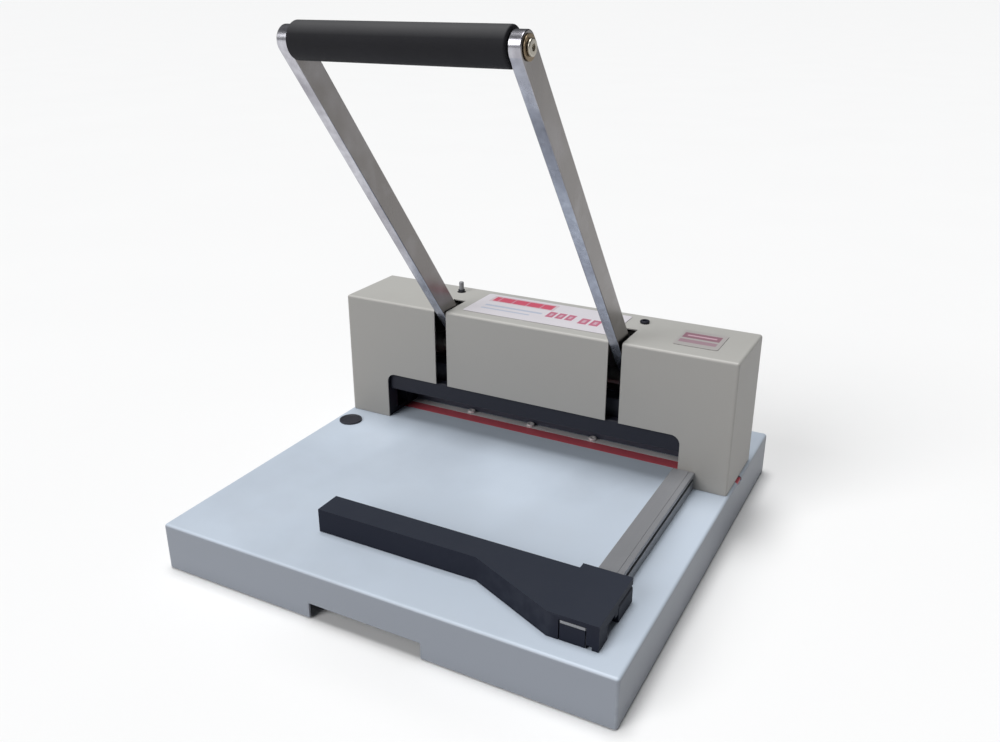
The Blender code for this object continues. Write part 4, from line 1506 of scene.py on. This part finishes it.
class Works(Assembly):
    """The nodes of the frame that keep their own shape and get a finish."""

    own_finish = {"rear_guard": "guard_paint"}

    def build(self) -> None:
        """Give each node the finish of its slot, or its own."""
        for entry in frame["record"]["subparts"]:
            slot = self.own_finish.get(entry["node"], entry["material_slot"])
            material = self.shop.materials.get(slot)
            if material:
                node = frame["nodes"][entry["node"]]
                node.data.materials.clear()
                node.data.materials.append(material)


# ------------------------------------------------------------------ studio
@dataclass(frozen=True)
class SoftLight:
    """A far-off soft light: where it shines from, its strength and how wide it is."""

    name: str
    shines_from: Triple
    strength: float
    degrees: float


SOFT_LIGHTS = (
    SoftLight("overhead", (-0.10, 0.04, 1.0), 2.45, 30.0),
    SoftLight("front_window", (-0.34, -0.80, 0.54), 1.65, 34.0),
)


@dataclass
class Studio:
    """The plain floor, the soft lights and the camera."""

    camera: Triple = (0.375923, -0.695312, 0.479001)
    azimuth: float = 27.917
    elevation: float = 22.427
    lens: float = 33.49
    floor: float = 400.0
    sky: Triple = (0.94, 0.97, 1.0)
    sky_strength: float = 0.10
    backdrop_strength: float = 0.96

    def build(self, shop: FinishShop) -> None:
        """Build the studio.

        Args:
            shop: Makes the floor's material.
        """
        self._floor(shop)
        self._sky()
        for light in SOFT_LIGHTS:
            self._light(light)
        self._camera()
        bpy.context.scene.view_settings.view_transform = "Standard"

    def _floor(self, shop: FinishShop) -> None:
        """Lay the floor."""
        Bench.clear()
        bpy.ops.mesh.primitive_plane_add(size=self.floor)
        floor = bpy.context.object
        floor.name = "studio_floor"
        floor.data.materials.append(shop.floor())

    def _sky(self) -> None:
        """Light the scene evenly from all round, and put a pale backdrop behind the floor."""
        world = bpy.data.worlds.new("studio_sky")
        world.use_nodes = True
        wiring = NodeTree(world.node_tree)
        glow = world.node_tree.nodes["Background"]
        backdrop = wiring.add("ShaderNodeBackground")
        for shader, colour, strength in (
            (glow, self.sky, self.sky_strength),
            (backdrop, (1, 1, 1), self.backdrop_strength),
        ):
            shader.inputs["Color"].default_value = (*colour, 1)
            shader.inputs["Strength"].default_value = strength
        seen = wiring.add("ShaderNodeLightPath").outputs["Is Camera Ray"]
        choice = wiring.add("ShaderNodeMixShader")
        wiring.feed(choice.inputs["Fac"], seen)
        wiring.feed(choice.inputs[1], glow.outputs["Background"])
        wiring.feed(choice.inputs[2], backdrop.outputs["Background"])
        surface = world.node_tree.nodes["World Output"].inputs["Surface"]
        wiring.feed(surface, choice.outputs["Shader"])
        bpy.context.scene.world = world

    @staticmethod
    def _light(light: SoftLight) -> None:
        """Hang one soft light.

        Args:
            light: Its place, strength and width.
        """
        data = bpy.data.lights.new(light.name, "SUN")
        data.energy = light.strength
        data.angle = math.radians(light.degrees)
        lamp = bpy.data.objects.new(light.name, data)
        lamp.rotation_euler = Vector(light.shines_from).to_track_quat("Z", "Y").to_euler()
        bpy.context.scene.collection.objects.link(lamp)

    def _camera(self) -> None:
        """Set up the camera."""
        data = bpy.data.cameras.new("camera")
        data.lens = self.lens
        data.clip_start = 0.01
        camera = bpy.data.objects.new("camera", data)
        camera.location = self.camera
        camera.rotation_euler = (math.radians(90 - self.elevation), 0, math.radians(self.azimuth))
        bpy.context.scene.collection.objects.link(camera)
        bpy.context.scene.camera = camera


def main() -> None:
    """Build every sub-assembly and the studio round them."""
    logging.basicConfig(level=logging.INFO, format="%(message)s")
    shop = FinishShop()
    for assembly in (Works, Table, Cover, Lever, PaperStop, SideRail, LockPin, Springs):
        assembly(shop).build()
    Studio().build(shop)


if __name__ == "__main__":
    main()
